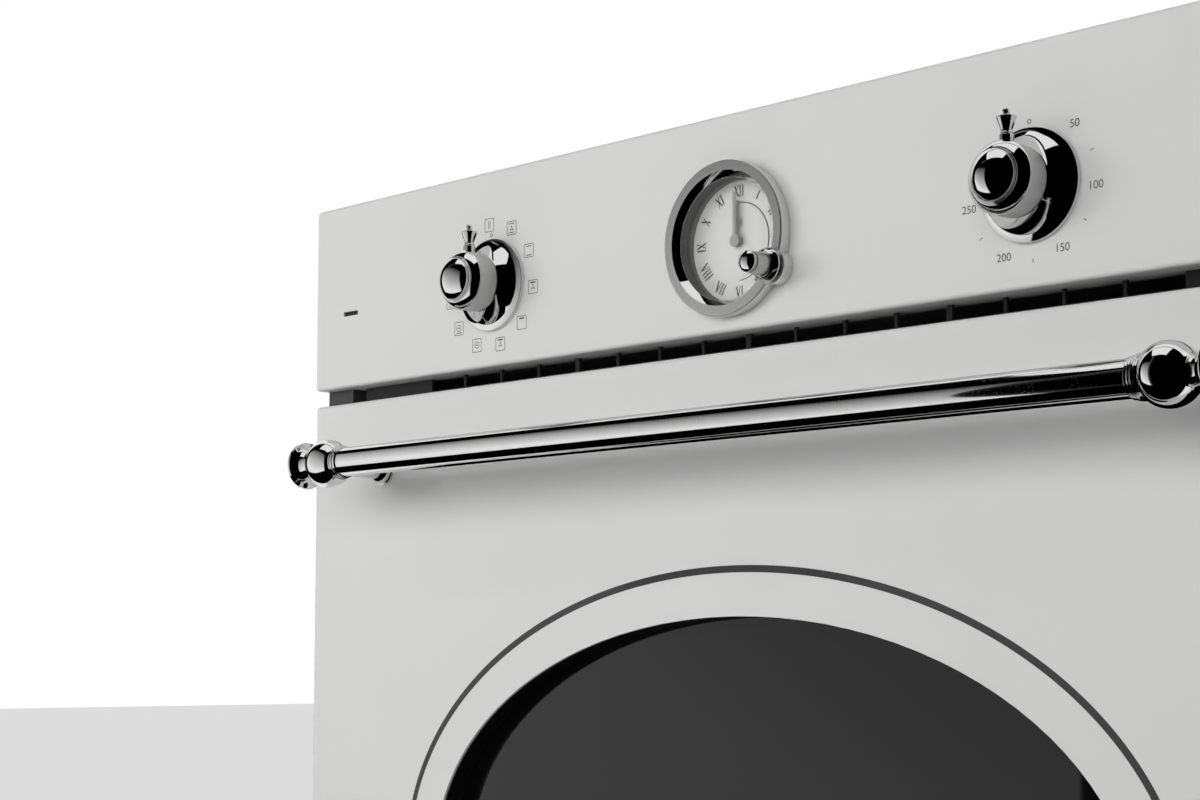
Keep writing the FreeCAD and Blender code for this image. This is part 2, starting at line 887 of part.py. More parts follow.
def clockDial():
    back = size.dialDepth + size.dialThickness
    outer = size.bezelInner - size.clockFit
    corners = [
        (size.pipeRadius + size.bushFit, size.dialDepth),
        (size.dialRadius, size.dialDepth),
        (size.dialConeRadius, size.dialConeDepth),
        (outer, size.dialConeDepth),
        (outer, back),
        (size.pipeRadius + size.bushFit, back),
    ]
    node("clock_dial", turned("ClockDial", corners, 0, depth(0), clockZ, "rear"))


def clockGlass():
    reach = depths(size.dialConeDepth - size.clockGlassThickness, size.dialConeDepth)
    radius = size.bezelInner - size.clockFit
    node("clock_glass", rod("ClockGlass", "y", radius, reach, (asSize(0), clockZ)))


def clockMovement():
    front = size.dialDepth + size.dialThickness
    reach = depths(front, front + size.movementDepth)
    body = rod("MovementCan", "y", size.movementRadius, reach, (asSize(0), clockZ))
    pipeBore = rod(
        "PipeBore", "y", size.pipeRadius + size.arborFit,
        depths(size.dialDepth, front + 2 * size.arborTail), (asSize(0), clockZ),
    )
    setterBore = rod(
        "SetterBore", "y", size.setterShaftRadius + size.arborFit,
        depths(size.dialDepth, front + 2 * size.setterShaftTail), (setterX, setterZ),
    )
    node("clock_movement", cut("ClockMovement", body, [pipeBore, setterBore]))


def minuteHand():
    face = depths(size.minuteDepth, size.minuteDepth + size.handThickness)
    back = size.dialDepth + size.dialThickness + 2 * size.arborTail
    blade = box("MinuteBlade", around(0, size.minuteWidth), face, span(clockZ, clockZ + size.minuteLength))
    hub = rod("MinuteHub", "y", size.hubRadius, face, (asSize(0), clockZ))
    arbor = rod("MinuteArbor", "y", size.arborRadius, depths(size.minuteDepth, back), (asSize(0), clockZ))
    node("minute_hand", fuse("MinuteHand", [blade, hub, arbor]))


def hourHand():
    face = depths(size.hourDepth, size.hourDepth + size.handThickness)
    back = size.dialDepth + size.dialThickness + size.arborTail
    blade = box("HourBlade", around(0, size.hourWidth), face, span(clockZ, clockZ + size.hourLength))
    disc = rod("HourDisc", "y", size.hourDiscRadius, face, (asSize(0), clockZ + size.hourDiscOffset))
    hub = rod("HourHub", "y", size.hubRadius, face, (asSize(0), clockZ))
    pipe = rod("HourPipe", "y", size.pipeRadius, depths(size.hourDepth, back), (asSize(0), clockZ))
    bore = rod(
        "HourBore", "y", size.arborRadius + size.arborFit,
        depths(size.minuteDepth, back + size.arborTail), (asSize(0), clockZ),
    )
    node("hour_hand", cut("HourHand", fuse("HourSolid", [blade, disc, hub, pipe]), [bore]))


def clockSpindle():
    back = size.dialDepth + size.dialThickness + size.setterShaftTail
    reach = depths(-size.setterShaftSeat, back)
    node("clock_spindle", rod("ClockSpindle", "y", size.setterShaftRadius, reach, (setterX, setterZ)))


def clockKnob():
    bore = size.setterShaftRadius + size.arborFit
    seat = size.setterShaftSeat + size.setterTravel + size.setterCapRound / 3
    cap = size.setterCapRadius
    corners = [
        (bore, size.setterStart),
        (size.setterRadius, size.setterStart),
        (size.setterRadius, size.setterKnurlEnd),
        (cap, size.setterKnurlEnd),
        (cap, size.setterEnd - size.setterCapRound),
        (cap - size.setterCapRound, size.setterEnd, size.setterCapRound),
        (0, size.setterEnd),
        (0, seat),
        (bore, seat),
    ]
    node("clock_knob", turned("ClockKnob", corners, setterX, depth(0), setterZ, "front"))


# Door

def postPlace(side):
    return side * (barHalf + size.bulbOffset)


def doorFrontPanel():
    through = depths(-size.doorSkin, 2 * size.doorSkin)
    openings = [ellipseDisc("WindowOpening", size.windowSemiWidth, size.windowSemiHeight, through, windowZ)]
    notchWidth = size.hingeArmThickness + 2 * size.hingeNotchMargin
    notchStart = size.hingeDepth - size.hingeArmHeight / 2 - size.hingeNotchMargin
    notchFoot = size.doorBottom - size.doorSkin
    for name, side in sides.items():
        openings.append(box(
            f"{name}HingeNotch",
            around(side * hingeX, notchWidth),
            depths(notchStart, size.doorDepth + size.doorSkin),
            span(notchFoot, size.doorBottom + 2 * size.doorSkin),
        ))
    pan = pressedPan(
        "DoorFrontPanel", doorWidth, size.doorHeight,
        size.doorDepth, size.doorSkin, size.doorBottom, openings,
    )
    node("door_front_panel", pan)


def windowCollar():
    wide = size.windowSemiWidth
    high = size.windowSemiHeight
    start = size.doorSkin
    flangeEnd = start + size.collarFlangeThickness
    wallReach = depths(start, size.windowRecess)
    wall = ellipseDisc("CollarWall", wide + size.collarWall, high + size.collarWall, wallReach, windowZ)
    flange = ellipseDisc(
        "CollarFlange", wide + size.collarFlange, high + size.collarFlange, depths(start, flangeEnd), windowZ
    )
    hole = ellipseDisc("CollarHole", wide, high, depths(0, size.windowRecess + size.collarWall), windowZ)
    node("window_collar", cut("WindowCollar", fuse("CollarSolid", [wall, flange]), [hole]))


def windowGlass():
    wide = size.windowSemiWidth + size.collarFlange
    high = size.windowSemiHeight + size.collarFlange
    reach = depths(size.windowRecess, size.windowRecess + size.windowGlassThickness)
    node("window_glass", ellipseDisc("WindowGlass", wide, high, reach, windowZ))


def innerGlass():
    reach = depths(size.innerGlassDepth, size.innerGlassDepth + size.innerGlassThickness)
    height = span(size.innerGlassBottom, innerGlassTop)
    node("inner_glass", box("InnerGlass", span(-innerGlassHalf, innerGlassHalf), reach, height))


# A folded channel from the door's skin to the inner pane, with a lip outside the pane's edge
def doorChannel(label, side):
    name = label.title().replace("_", "")
    lipInner = innerGlassHalf + size.glassFit
    outer = lipInner + size.channelLip
    inner = outer - size.channelWidth
    height = span(size.innerGlassBottom, innerGlassTop + size.glassFit)
    reach = depths(size.doorSkin, size.innerGlassDepth)
    profile = box(f"{name}Profile", mirroredSpan(side, inner, outer), reach, height)
    hollow = box(
        f"{name}Hollow",
        mirroredSpan(side, inner - size.channelSheet, outer - size.channelSheet),
        depths(size.doorSkin + size.channelSheet, size.innerGlassDepth - size.channelSheet),
        height,
    )
    lip = box(
        f"{name}Lip",
        mirroredSpan(side, lipInner, outer),
        depths(size.innerGlassDepth - size.channelSheet, size.innerGlassDepth + size.innerGlassThickness),
        height,
    )
    node(label, fuse(name, [cut(f"{name}Folded", profile, [hollow]), lip]))


def doorTopTrim():
    half = innerGlassHalf + size.glassFit + size.channelLip
    bottom = innerGlassTop + size.glassFit
    rear = size.innerGlassDepth + size.innerGlassThickness
    strip = box(
        "TrimStrip", span(-half, half), depths(size.doorSkin, rear), span(bottom, bottom + size.topTrimHeight)
    )
    slots = []
    slotCentre = (size.doorDepth + rear) / 2
    pitch = size.topTrimSlotLength + 2 * size.topTrimSlotWidth
    for index in range(trimSlots):
        slots.append(box(
            f"TrimSlot{index}",
            around(pitch * (index - (trimSlots - 1) / 2), size.topTrimSlotLength),
            depths(slotCentre - size.topTrimSlotWidth / 2, slotCentre + size.topTrimSlotWidth / 2),
            span(bottom - size.topTrimHeight, bottom + 2 * size.topTrimHeight),
        ))
    node("door_top_trim", cut("DoorTopTrim", strip, slots))


def handleBar():
    place = (depth(-size.handleStandoff), handleZ)
    node("handle_bar", rod("HandleBar", "x", size.barRadius, span(-barHalf, barHalf), place))


def handleFinial(name, side):
    centre = size.bulbOffset
    reach = size.bulbReach
    bulbEdge = root(size.bulbRadius * size.bulbRadius - reach * reach)
    corners = [
        (0, 0),
        (size.collarRadius, 0),
        (size.collarRadius, size.collarLength),
        (bulbEdge, size.collarLength),
        (bulbEdge, centre - reach),
        (bulbEdge, centre + reach, size.bulbRadius),
        (size.neckRadius, size.neckOffset - size.flareRim),
        (size.neckRadius, size.neckOffset),
        (size.flareRadius, size.flareOffset, -size.flareHollow),
        (size.flareRadius, size.flareOffset + size.flareRim),
        (0, size.flareOffset + size.flareRim + size.flareDome, capRadius(size.flareRadius, size.flareDome)),
    ]
    towards = "right" if side > 0 else "left"
    start = side * barHalf
    body = turned(f"{name}Body", corners, start, depth(-size.handleStandoff), handleZ, towards)
    seat = rod(
        f"{name}Seat", "y", size.postRadius + size.postFit,
        depths(size.postSeat - size.handleStandoff, 0), (postPlace(side), handleZ),
    )
    return cut(name, body, [seat])


def handlePost(name, side):
    top = size.handleStandoff - size.postSeat
    foot = size.postFlangeLength + size.postFootLength
    corners = [
        (0, 0),
        (size.postFlangeRadius, 0),
        (size.postFlangeRadius, size.postFlangeLength),
        (size.postFootRadius, size.postFlangeLength),
        (size.postRadius, foot, size.postFootLength),
        (size.postRadius, top),
        (0, top),
    ]
    return turned(name, corners, postPlace(side), depth(0), handleZ, "front")


def handleEnds():
    finials = [handleFinial(f"{name}Finial", side) for name, side in sides.items()]
    posts = [handlePost(f"{name}Post", side) for name, side in sides.items()]
    node("handle_finials", group("HandleFinials", finials))
    node("handle_posts", group("HandlePosts", posts))


# Hinges: arms on the oven with fixed pivot pins, brackets on the door that turn about them

def hingeArms():
    arms = []
    frameFace = size.frameDepth
    for name, side in sides.items():
        x = side * hingeX
        across = around(x, size.hingeArmThickness)
        place = (depth(size.hingeDepth), size.hingeHeight)
        eye = rod(f"{name}HingeEye", "x", size.hingeEyeRadius, across, place)
        pin = rod(f"{name}HingePin", "x", size.hingePinRadius, around(x, size.hingePinLength), place)
        height = around(size.hingeHeight, size.hingeArmHeight)
        arm = box(f"{name}HingeBar", across, depths(size.hingeDepth, frameFace), height)
        foot = box(
            f"{name}HingeFoot",
            around(x, size.hingeFootWidth),
            depths(frameFace - size.hingeFootThickness, frameFace),
            span(size.doorBottom, size.doorBottom + size.hingeFootHeight),
        )
        arms.append(fuse(f"{name}HingeArm", [eye, pin, arm, foot]))
    node("hinge_arms", group("HingeArms", arms))


def hingeBrackets():
    brackets = []
    foot = size.hingeHeight - size.hingeEyeRadius
    for name, side in sides.items():
        x = side * hingeX
        outer = size.hingeCheekGap + 2 * size.hingeCheekThickness
        height = span(foot, foot + size.hingeCheekHeight)
        reach = depths(size.doorSkin, size.hingeDepth + size.hingeCheekReach)
        block = box(f"{name}BracketBlock", around(x, outer), reach, height)
        hollow = box(
            f"{name}BracketHollow",
            around(x, size.hingeCheekGap),
            depths(size.doorSkin + size.hingeWebThickness, size.doorDepth),
            height,
        )
        bore = rod(
            f"{name}BracketBore", "x", size.hingePinRadius + size.hingeFit, around(x, 2 * outer),
            (depth(size.hingeDepth), size.hingeHeight),
        )
        brackets.append(cut(f"{name}Bracket", block, [hollow, bore]))
    node("hinge_brackets", group("HingeBrackets", brackets))


# Carcass

def ventSlots(name, wall, count, first, across, through):
    slots = []
    for index in range(count):
        run = around(first + size.ventSlotPitch * index, size.ventSlotWidth)
        spans = {
            "rear": (across, through, run),
            "side": (through, across, run),
            "flat": (run, across, through),
        }
        slots.append(box(f"{name}{index}", *spans[wall]))
    return slots


def basePlate():
    reach = depths(frameRear, size.carcassRear - size.sheet)
    pieces = [box("BaseSheet", span(-carcassHalf, carcassHalf), reach, span(0, size.sheet))]
    for name, side in sides.items():
        wall = mirroredSpan(side, carcassInner - size.sheet, carcassInner)
        pieces.append(box(f"{name}BaseFlange", wall, reach, span(0, size.baseFlange)))
    through = span(-size.sheet, 2 * size.sheet)
    across = around(depth(size.carcassRear / 2), size.ventSlotLength)
    first = -size.ventSlotPitch * (floorSlots - 1) / 2
    slots = ventSlots("BaseSlot", "flat", floorSlots, first, across, through)
    node("base_plate", cut("BasePlate", fuse("BaseFolded", pieces), slots))


def sidePanel(label, side):
    name = label.title().replace("_", "")
    wall = mirroredSpan(side, carcassInner, carcassHalf)
    height = span(size.sheet, casingTop - size.sheet)
    plate = box(f"{name}Sheet", wall, depths(frameRear, size.carcassRear - size.sheet), height)
    through = mirroredSpan(side, carcassInner - size.sheet, carcassHalf + size.sheet)
    across = around(depth(size.carcassRear - size.ventSlotLength), size.ventSlotLength)
    slots = ventSlots(f"{name}Slot", "side", sideSlots, ductTop + size.ventSlotPitch, across, through)
    node(label, cut(name, plate, slots))


def topCover():
    reach = depths(trayRear, size.carcassRear - size.sheet)
    height = span(casingTop - size.sheet, casingTop)
    plate = box("TopSheet", span(-carcassHalf, carcassHalf), reach, height)
    through = span(casingTop - 2 * size.sheet, casingTop + size.sheet)
    across = around(depth(blowerFront + size.blowerDepth / 2), size.ventSlotLength)
    first = -size.ventSlotPitch * (floorSlots - 1) / 2
    slots = ventSlots("TopSlot", "flat", floorSlots, first, across, through)
    node("top_cover", cut("TopCover", plate, slots))


def screwPlaces():
    inset = carcassHalf - size.screwInset
    low = size.baseFlange + size.screwInset
    high = casingTop - size.screwInset
    middle = (low + high) / 2
    return [(side * inset, z) for side in sides.values() for z in (low, middle, high)]


def rearCover():
    reach = depths(size.carcassRear - size.sheet, size.carcassRear)
    plate = box("RearSheet", span(-carcassHalf, carcassHalf), reach, span(0, casingTop))
    through = depths(size.carcassRear - 2 * size.sheet, size.carcassRear + size.sheet)
    place = (glandX, glandZ)
    tools = [rod("GlandHole", "y", size.glandRadius + size.glandFit, through, place)]
    for index, place in enumerate(screwPlaces()):
        tools.append(rod(f"ScrewHole{index}", "y", size.screwRadius + size.screwFit, through, place))
    for name, side in sides.items():
        across = around(side * size.ventSlotLength, size.ventSlotLength)
        first = ductTop + size.ventSlotPitch
        tools += ventSlots(f"{name}RearSlot", "rear", rearSlots, first, across, through)
    node("rear_cover", cut("RearCover", plate, tools))


def casingScrews():
    screws = []
    rear = size.carcassRear
    for index, place in enumerate(screwPlaces()):
        headReach = depths(rear, rear + size.screwHeadHeight)
        shankReach = depths(rear - size.screwLength, rear)
        head = rod(f"ScrewHead{index}", "y", size.screwHeadRadius, headReach, place)
        shank = rod(f"ScrewShank{index}", "y", size.screwRadius, shankReach, place)
        screws.append(fuse(f"Screw{index}", [head, shank]))
    node("casing_screws", group("CasingScrews", screws))


def cableGland():
    tail = -size.glandTail
    corners = [
        (size.glandBore, tail),
        (size.glandRadius, tail),
        (size.glandRadius, 0),
        (size.glandFlangeRadius, 0),
        (size.glandFlangeRadius, size.glandFlangeLength),
        (size.glandRadius, size.glandFlangeLength),
        (size.glandRadius, size.glandLength),
        (size.glandBore, size.glandLength),
    ]
    place = (glandX, depth(size.carcassRear), glandZ)
    node("cable_gland", turned("CableGland", corners, *place, "rear"))


def frontFrame():
    wall = size.sheet
    flangeFace = size.stopDepth - wall
    opening = box(
        "MouthOpening",
        span(-cavityHalf, cavityHalf),
        depths(size.frameDepth - wall, frameRear + wall),
        span(size.cavityBottom, cavityTop),
    )
    across = span(-carcassHalf, carcassHalf)
    plate = box("FramePlate", across, depths(size.frameDepth, frameRear), span(0, grilleBottom))
    pieces = [cut("FrameMouth", plate, [opening])]
    holes = []
    for name, side in sides.items():
        step = mirroredSpan(side, carcassHalf - wall, carcassHalf)
        flange = mirroredSpan(side, carcassHalf - wall, flangeHalf)
        height = span(size.flangeFoot, grilleBottom)
        ear = mirroredSpan(side, carcassHalf - size.earLap, panelHalf - size.earInset)
        earReach = depths(size.earDepth, size.stopDepth)
        pieces.append(box(f"{name}FrameStep", step, depths(flangeFace, frameRear), height))
        pieces.append(box(f"{name}FrameFlange", flange, depths(flangeFace, size.stopDepth), height))
        pieces.append(box(f"{name}FrameEar", ear, earReach, span(grilleBottom, panelBottom)))
        for level in (-1, 1):
            fixingZ = size.fixingCentre + level * size.fixingSpacingZ / 2
            place = (side * (carcassHalf + size.fixingReach), fixingZ)
            through = depths(flangeFace - wall, size.stopDepth + wall)
            holes.append(rod(f"{name}FixingHole{level + 1}", "y", size.fixingRadius, through, place))
    node("front_frame", cut("FrontFrame", fuse("FrameFolded", pieces), holes))


# Cavity

def throughRearWall(name, radius, x, z):
    reach = depths(cavityBack - size.fanGap, blanketBack + size.fanGap)
    return rod(name, "y", radius, reach, (asSize(x), z))


def cavityLiner():
    shell = box(
        "LinerShell", span(-linerHalf, linerHalf), depths(frameRear, linerBack), span(linerBottom, linerTop)
    )
    room = box(
        "LinerRoom",
        span(-cavityHalf, cavityHalf),
        depths(frameRear - size.cavityWall, cavityBack),
        span(size.cavityBottom, cavityTop),
    )
    shaftHole = throughRearWall("LinerHole", size.fanShaftHole, 0, fanZ)
    node("cavity_liner", cut("CavityLiner", shell, [room, shaftHole]))


def insulationBlanket():
    half = linerHalf + size.insulation
    bottom = linerBottom - size.elementSpace
    height = span(bottom - size.insulation, blanketTop)
    blanket = box("BlanketShell", span(-half, half), depths(frameRear, blanketBack), height)
    roomReach = depths(frameRear - size.sheet, linerBack)
    room = box("BlanketRoom", span(-linerHalf, linerHalf), roomReach, span(bottom, linerTop))
    hole = throughRearWall("BlanketHole", 2 * size.fanShaftHole, 0, fanZ)
    node("insulation_blanket", cut("InsulationBlanket", blanket, [room, hole]))


def doorGasket():
    inner = cavityHalf + size.gasketInset
    outer = inner + size.gasketWidth
    front = size.innerGlassDepth + size.innerGlassThickness + size.gasketGap
    low = size.cavityBottom - size.gasketInset
    high = cavityTop + size.gasketInset
    ring = box(
        "GasketRing",
        span(-outer, outer),
        depths(front, size.frameDepth),
        span(low - size.gasketWidth, high + size.gasketWidth),
    )
    hole = box("GasketHole", span(-inner, inner), depths(front - size.sheet, frameRear), span(low, high))
    node("door_gasket", cut("DoorGasket", ring, [hole]))


def airDuct():
    reach = depths(frameRear, size.carcassRear - size.sheet)
    inner = carcassInner - size.sheet
    height = ductTop + size.baseFlange
    pieces = [box("DuctSheet", span(-carcassInner, carcassInner), reach, span(ductFloor, ductTop))]
    for name, side in sides.items():
        wall = mirroredSpan(side, inner, carcassInner)
        pieces.append(box(f"{name}DuctFlange", wall, reach, span(ductFloor, height)))
    node("air_duct", fuse("AirDuct", pieces))


# Wire racks on the cavity's side walls, with pairs of rails at each level

def railHeight(level):
    first = rackBottom + size.railFoot
    last = rackTop - size.railHead - size.railPitch
    return first + (last - first) / (rackLevels - 1) * level


def rack(label, side):
    name = label.title().replace("_", "")
    wireX = side * (cavityHalf - 2 * size.rackWire)
    wires = []
    for index, distance in enumerate((size.rackFront, cavityBack - size.rackRearGap)):
        upright = span(rackBottom, rackTop)
        wires.append(rod(f"{name}Post{index}", "z", size.rackWire, upright, (wireX, depth(distance))))
        for end, height in enumerate((rackBottom + 4 * size.rackWire, rackTop - 4 * size.rackWire)):
            peg = mirroredSpan(side, cavityHalf - 2 * size.rackWire, cavityHalf)
            wires.append(rod(f"{name}Peg{index}{end}", "x", size.rackWire, peg, (depth(distance), height)))
    for level in range(rackLevels):
        for pair in (0, 1):
            z = railHeight(level) + size.railPitch * pair
            reach = depths(size.railFront, cavityBack - size.railRearGap)
            wires.append(rod(f"{name}Rail{level}{pair}", "y", size.railWire, reach, (side * railX, z)))
    node(label, fuse(name, wires))


def wireShelf():
    z = railHeight(shelfLevel) + size.railWire + size.slideGap + size.shelfWire
    half = rackInner - size.shelfSideGap - size.shelfWire
    wires = []
    for name, side in sides.items():
        reach = depths(size.shelfFront, shelfRear)
        wires.append(rod(f"{name}ShelfRunner", "y", size.shelfWire, reach, (side * half, z)))
    for index, distance in enumerate((size.shelfFront, shelfRear)):
        inward = size.shelfWire if index == 0 else -size.shelfWire
        across = span(-half, half)
        wires.append(rod(f"ShelfEnd{index}", "x", size.shelfWire, across, (depth(distance + inward), z)))
    for index in range(1, shelfBays):
        x = 2 * half / shelfBays * index - half
        reach = depths(size.shelfFront + size.shelfWire, shelfRear - size.shelfWire)
        wires.append(rod(f"ShelfBar{index}", "y", size.shelfBarWire, reach, (x, z)))
    node("wire_shelf", fuse("WireShelf", wires))


def bakingTray():
    rimBottom = railHeight(trayLevel) + size.railWire + size.slideGap
    rimTop = rimBottom + size.panSheet
    floor = rimTop - size.panHeight
    half = rackInner - size.shelfSideGap
    tub = half - size.panRim
    front = size.shelfFront + size.panRim
    rear = shelfRear - size.panRim
    rimReach = depths(size.shelfFront, shelfRear)
    rim = box("TrayRim", span(-half, half), rimReach, span(rimBottom, rimTop))
    body = box("TrayTub", span(-tub, tub), depths(front, rear), span(floor, rimTop))
    inside = box(
        "TrayRoom",
        span(size.panSheet - tub, tub - size.panSheet),
        depths(front + size.panSheet, rear - size.panSheet),
        span(floor + size.panSheet, rimTop + size.panSheet),
    )
    node("baking_tray", cut("BakingTray", fuse("TraySolid", [rim, body]), [inside]))


# Heating elements: straight legs joined by half-round bends

def bentElement(name, front, rear, z, endDepth):
    lastLeg = elementLegs - 1
    bendRadius = size.grillPitch / 2
    pieces = []
    for index in range(elementLegs):
        x = size.grillPitch * (index - lastLeg / 2)
        outer = index in (0, lastLeg)
        reach = depths(front, endDepth if outer else rear)
        pieces.append(rod(f"{name}Leg{index}", "y", size.elementRod, reach, (x, z)))
    for index in range(lastLeg):
        bend = doc.addObject("Part::Torus", f"{name}Bend{index}")
        atFront = index % 2 == 0
        bend.Angle3 = 180.0
        turn = 180 if atFront else 0
        bend.Placement = Placement(Vector(), Rotation(Vector(0, 0, 1), turn))
        bind(bend, "Radius1", bendRadius)
        bind(bend, "Radius2", size.elementRod)
        x = size.grillPitch * (index + 1 - elementLegs / 2)
        bindPlace(bend, x, depth(front if atFront else rear), z)
        pieces.append(bend)
    return fuse(name, pieces)


def grillElement():
    z = cavityTop - size.grillDrop
    rear = cavityBack - size.grillRearGap
    node("grill_element", bentElement("GrillElement", size.grillFront, rear, z, cavityBack))


def bottomElement():
    z = linerBottom - size.elementSpace + size.elementRod
    rear = cavityBack - size.bottomRearGap
    node("bottom_element", bentElement("BottomElement", size.bottomFront, rear, z, linerBack))


def ringElement():
    ringDepth = cavityBack - size.ringGap
    ring = doc.addObject("Part::Torus", "HeaterRing")
    ring.Placement = Placement(Vector(), alongAxis["y"])
    bind(ring, "Radius1", size.ringRadius)
    bind(ring, "Radius2", size.ringRod)
    bindPlace(ring, 0, depth(ringDepth), fanZ)
    leads = []
    for name, side in sides.items():
        place = (side * size.ringRadius, fanZ)
        leads.append(rod(f"{name}RingLead", "y", size.ringRod, depths(ringDepth, cavityBack), place))
    node("ring_element", fuse("RingElement", [ring] + leads))


# Hot-air fan behind its baffle

def fanWheel():
    backFace = cavityBack - size.fanGap
    frontFace = backFace - size.fanDepth
    discReach = depths(backFace - size.fanBladeSheet, backFace)
    disc = rod("FanDisc", "y", size.fanRadius, discReach, (asSize(0), fanZ))
    hub = rod("FanHub", "y", size.fanHubRadius, depths(frontFace, backFace), (asSize(0), fanZ))
    shaftEnd = blanketBack + size.motorPlateThickness + size.motorShaftReach
    shaft = rod("FanShaft", "y", size.fanShaftRadius, depths(frontFace, shaftEnd), (asSize(0), fanZ))
    blades = []
    for index in range(fanBlades):
        blade = doc.addObject("Part::Box", f"FanBlade{index}")
        turn = Rotation(Vector(0, 1, 0), 360 * index / fanBlades)
        blade.Placement = Placement(Vector(), turn)
        bind(blade, "Length", size.fanRadius - size.fanBladeInner)
        bind(blade, "Width", size.fanDepth)
        bind(blade, "Height", size.fanBladeSheet)
        outward = turn.multVec(Vector(1, 0, 0))
        bindPlace(
            blade, size.fanBladeInner * outward.x, depth(frontFace), fanZ + size.fanBladeInner * outward.z
        )
        blades.append(blade)
    node("fan_wheel", fuse("FanWheel", [disc, hub, shaft] + blades))


def convectionMotor():
    front = blanketBack
    plateBack = front + size.motorPlateThickness
    across = around(0, size.motorPlate)
    plate = box("MotorPlate", across, depths(front, plateBack), around(fanZ, size.motorPlate))
    canReach = depths(front, plateBack + size.motorDepth)
    can = rod("MotorCan", "y", size.motorRadius, canReach, (asSize(0), fanZ))
    bore = rod(
        "MotorBore", "y", size.fanShaftRadius + size.fanShaftFit,
        depths(front - size.sheet, plateBack + size.motorShaftReach + size.fanGap), (asSize(0), fanZ),
    )
    node("convection_motor", cut("ConvectionMotor", fuse("MotorSolid", [plate, can]), [bore]))


def fanBaffle():
    face = cavityBack - size.baffleDepth
    half = cavityHalf - size.baffleSideMargin
    height = cavityTop - size.cavityBottom - 2 * size.baffleEndMargin
    shell = box("BaffleShell", span(-half, half), depths(face, cavityBack), around(fanZ, height))
    room = box(
        "BaffleRoom",
        span(size.sheet - half, half - size.sheet),
        depths(face + size.sheet, cavityBack + size.sheet),
        around(fanZ, height - 2 * size.sheet),
    )
    through = depths(face - size.sheet, face + 2 * size.sheet)
    tools = [room, rod("BaffleHole", "y", size.baffleHoleRadius, through, (asSize(0), fanZ))]
    for ring, holes in baffleRings.items():
        for index in range(holes):
            angle = 2 * math.pi * index / holes
            x = size.baffleHoleRing * (ring * math.cos(angle))
            z = fanZ + size.baffleHoleRing * (ring * math.sin(angle))
            tools.append(rod(f"BaffleHole{ring}{index}", "y", size.baffleHoleRadius, through, (x, z)))
    for name, side in sides.items():
        for index in baffleSlotSteps:
            x = side * (half - index * size.baffleSlotWidth)
            slot = around(x, size.baffleSlotWidth)
            tools.append(box(f"{name}BaffleSlot{index}", slot, through, around(fanZ, size.baffleSlotLength)))
    node("fan_baffle", cut("FanBaffle", shell, tools))


def ovenLamp():
    domeRadius = capRadius(size.lampDomeRadius, size.lampDomeHeight)
    corners = [
        (0, 0),
        (size.lampFlangeRadius, 0),
        (size.lampFlangeRadius, size.lampFlangeThickness),
        (size.lampDomeRadius, size.lampFlangeThickness),
        (0, size.lampFlangeThickness + size.lampDomeHeight, domeRadius),
    ]
    place = (size.lampInset - cavityHalf, depth(cavityBack), cavityTop - size.lampDrop)
    node("oven_lamp", turned("OvenLamp", corners, *place, "front"))


# Cooling blower above the duct floor

def blowerAxis():
    return (depth(blowerFront + size.blowerDepth / 2), ductTop + size.blowerHeight / 2)


def blowerHousing():
    half = size.blowerWidth / 2
    wall = size.blowerSheet
    reach = depths(blowerFront, blowerFront + size.blowerDepth)
    shell = box("BlowerShell", span(-half, half), reach, span(ductTop, ductTop + size.blowerHeight))
    room = box(
        "BlowerRoom",
        span(wall - half, half - wall),
        depths(blowerFront - wall, blowerFront + size.blowerDepth - wall),
        span(ductTop + wall, ductTop + size.blowerHeight - wall),
    )
    through = span(-half - wall, half + wall)
    bore = rod("BlowerBore", "x", size.blowerShaftRadius + size.blowerShaftFit, through, blowerAxis())
    node("blower_housing", cut("BlowerHousing", shell, [room, bore]))


def blowerMotor():
    half = size.blowerWidth / 2
    reach = span(half, half + size.blowerMotorLength)
    can = rod("BlowerCan", "x", size.blowerMotorRadius, reach, blowerAxis())
    bore = rod(
        "BlowerCanBore", "x", size.blowerShaftRadius + size.blowerShaftFit,
        span(half - size.blowerSheet, half + size.blowerMotorLength / 2), blowerAxis(),
    )
    node("blower_motor", cut("BlowerMotor", can, [bore]))


def blowerWheel():
    half = size.blowerWheelLength / 2
    axisY, axisZ = blowerAxis()
    shaftEnd = size.blowerWidth / 2 + size.blowerMotorLength / 3
    shaft = span(-size.blowerWidth / 2, shaftEnd)
    pieces = [rod("BlowerShaft", "x", size.blowerShaftRadius, shaft, blowerAxis())]
    for name, side in sides.items():
        disc = mirroredSpan(side, half - 2 * size.blowerBladeSheet, half)
        pieces.append(rod(f"{name}BlowerDisc", "x", size.blowerWheelRadius, disc, blowerAxis()))
    for index in range(blowerBlades):
        blade = doc.addObject("Part::Box", f"BlowerBlade{index}")
        turn = Rotation(Vector(1, 0, 0), 360 * index / blowerBlades)
        blade.Placement = Placement(Vector(), turn)
        bind(blade, "Length", size.blowerWheelLength)
        bind(blade, "Width", size.blowerBladeHeight)
        bind(blade, "Height", size.blowerBladeSheet)
        outward = turn.multVec(Vector(0, 1, 0))
        start = size.blowerWheelRadius - size.blowerBladeHeight - size.blowerBladeSheet
        bindPlace(blade, -half, axisY + start * outward.y, axisZ + start * outward.z)
        pieces.append(blade)
    node("blower_wheel", fuse("BlowerWheel", pieces))


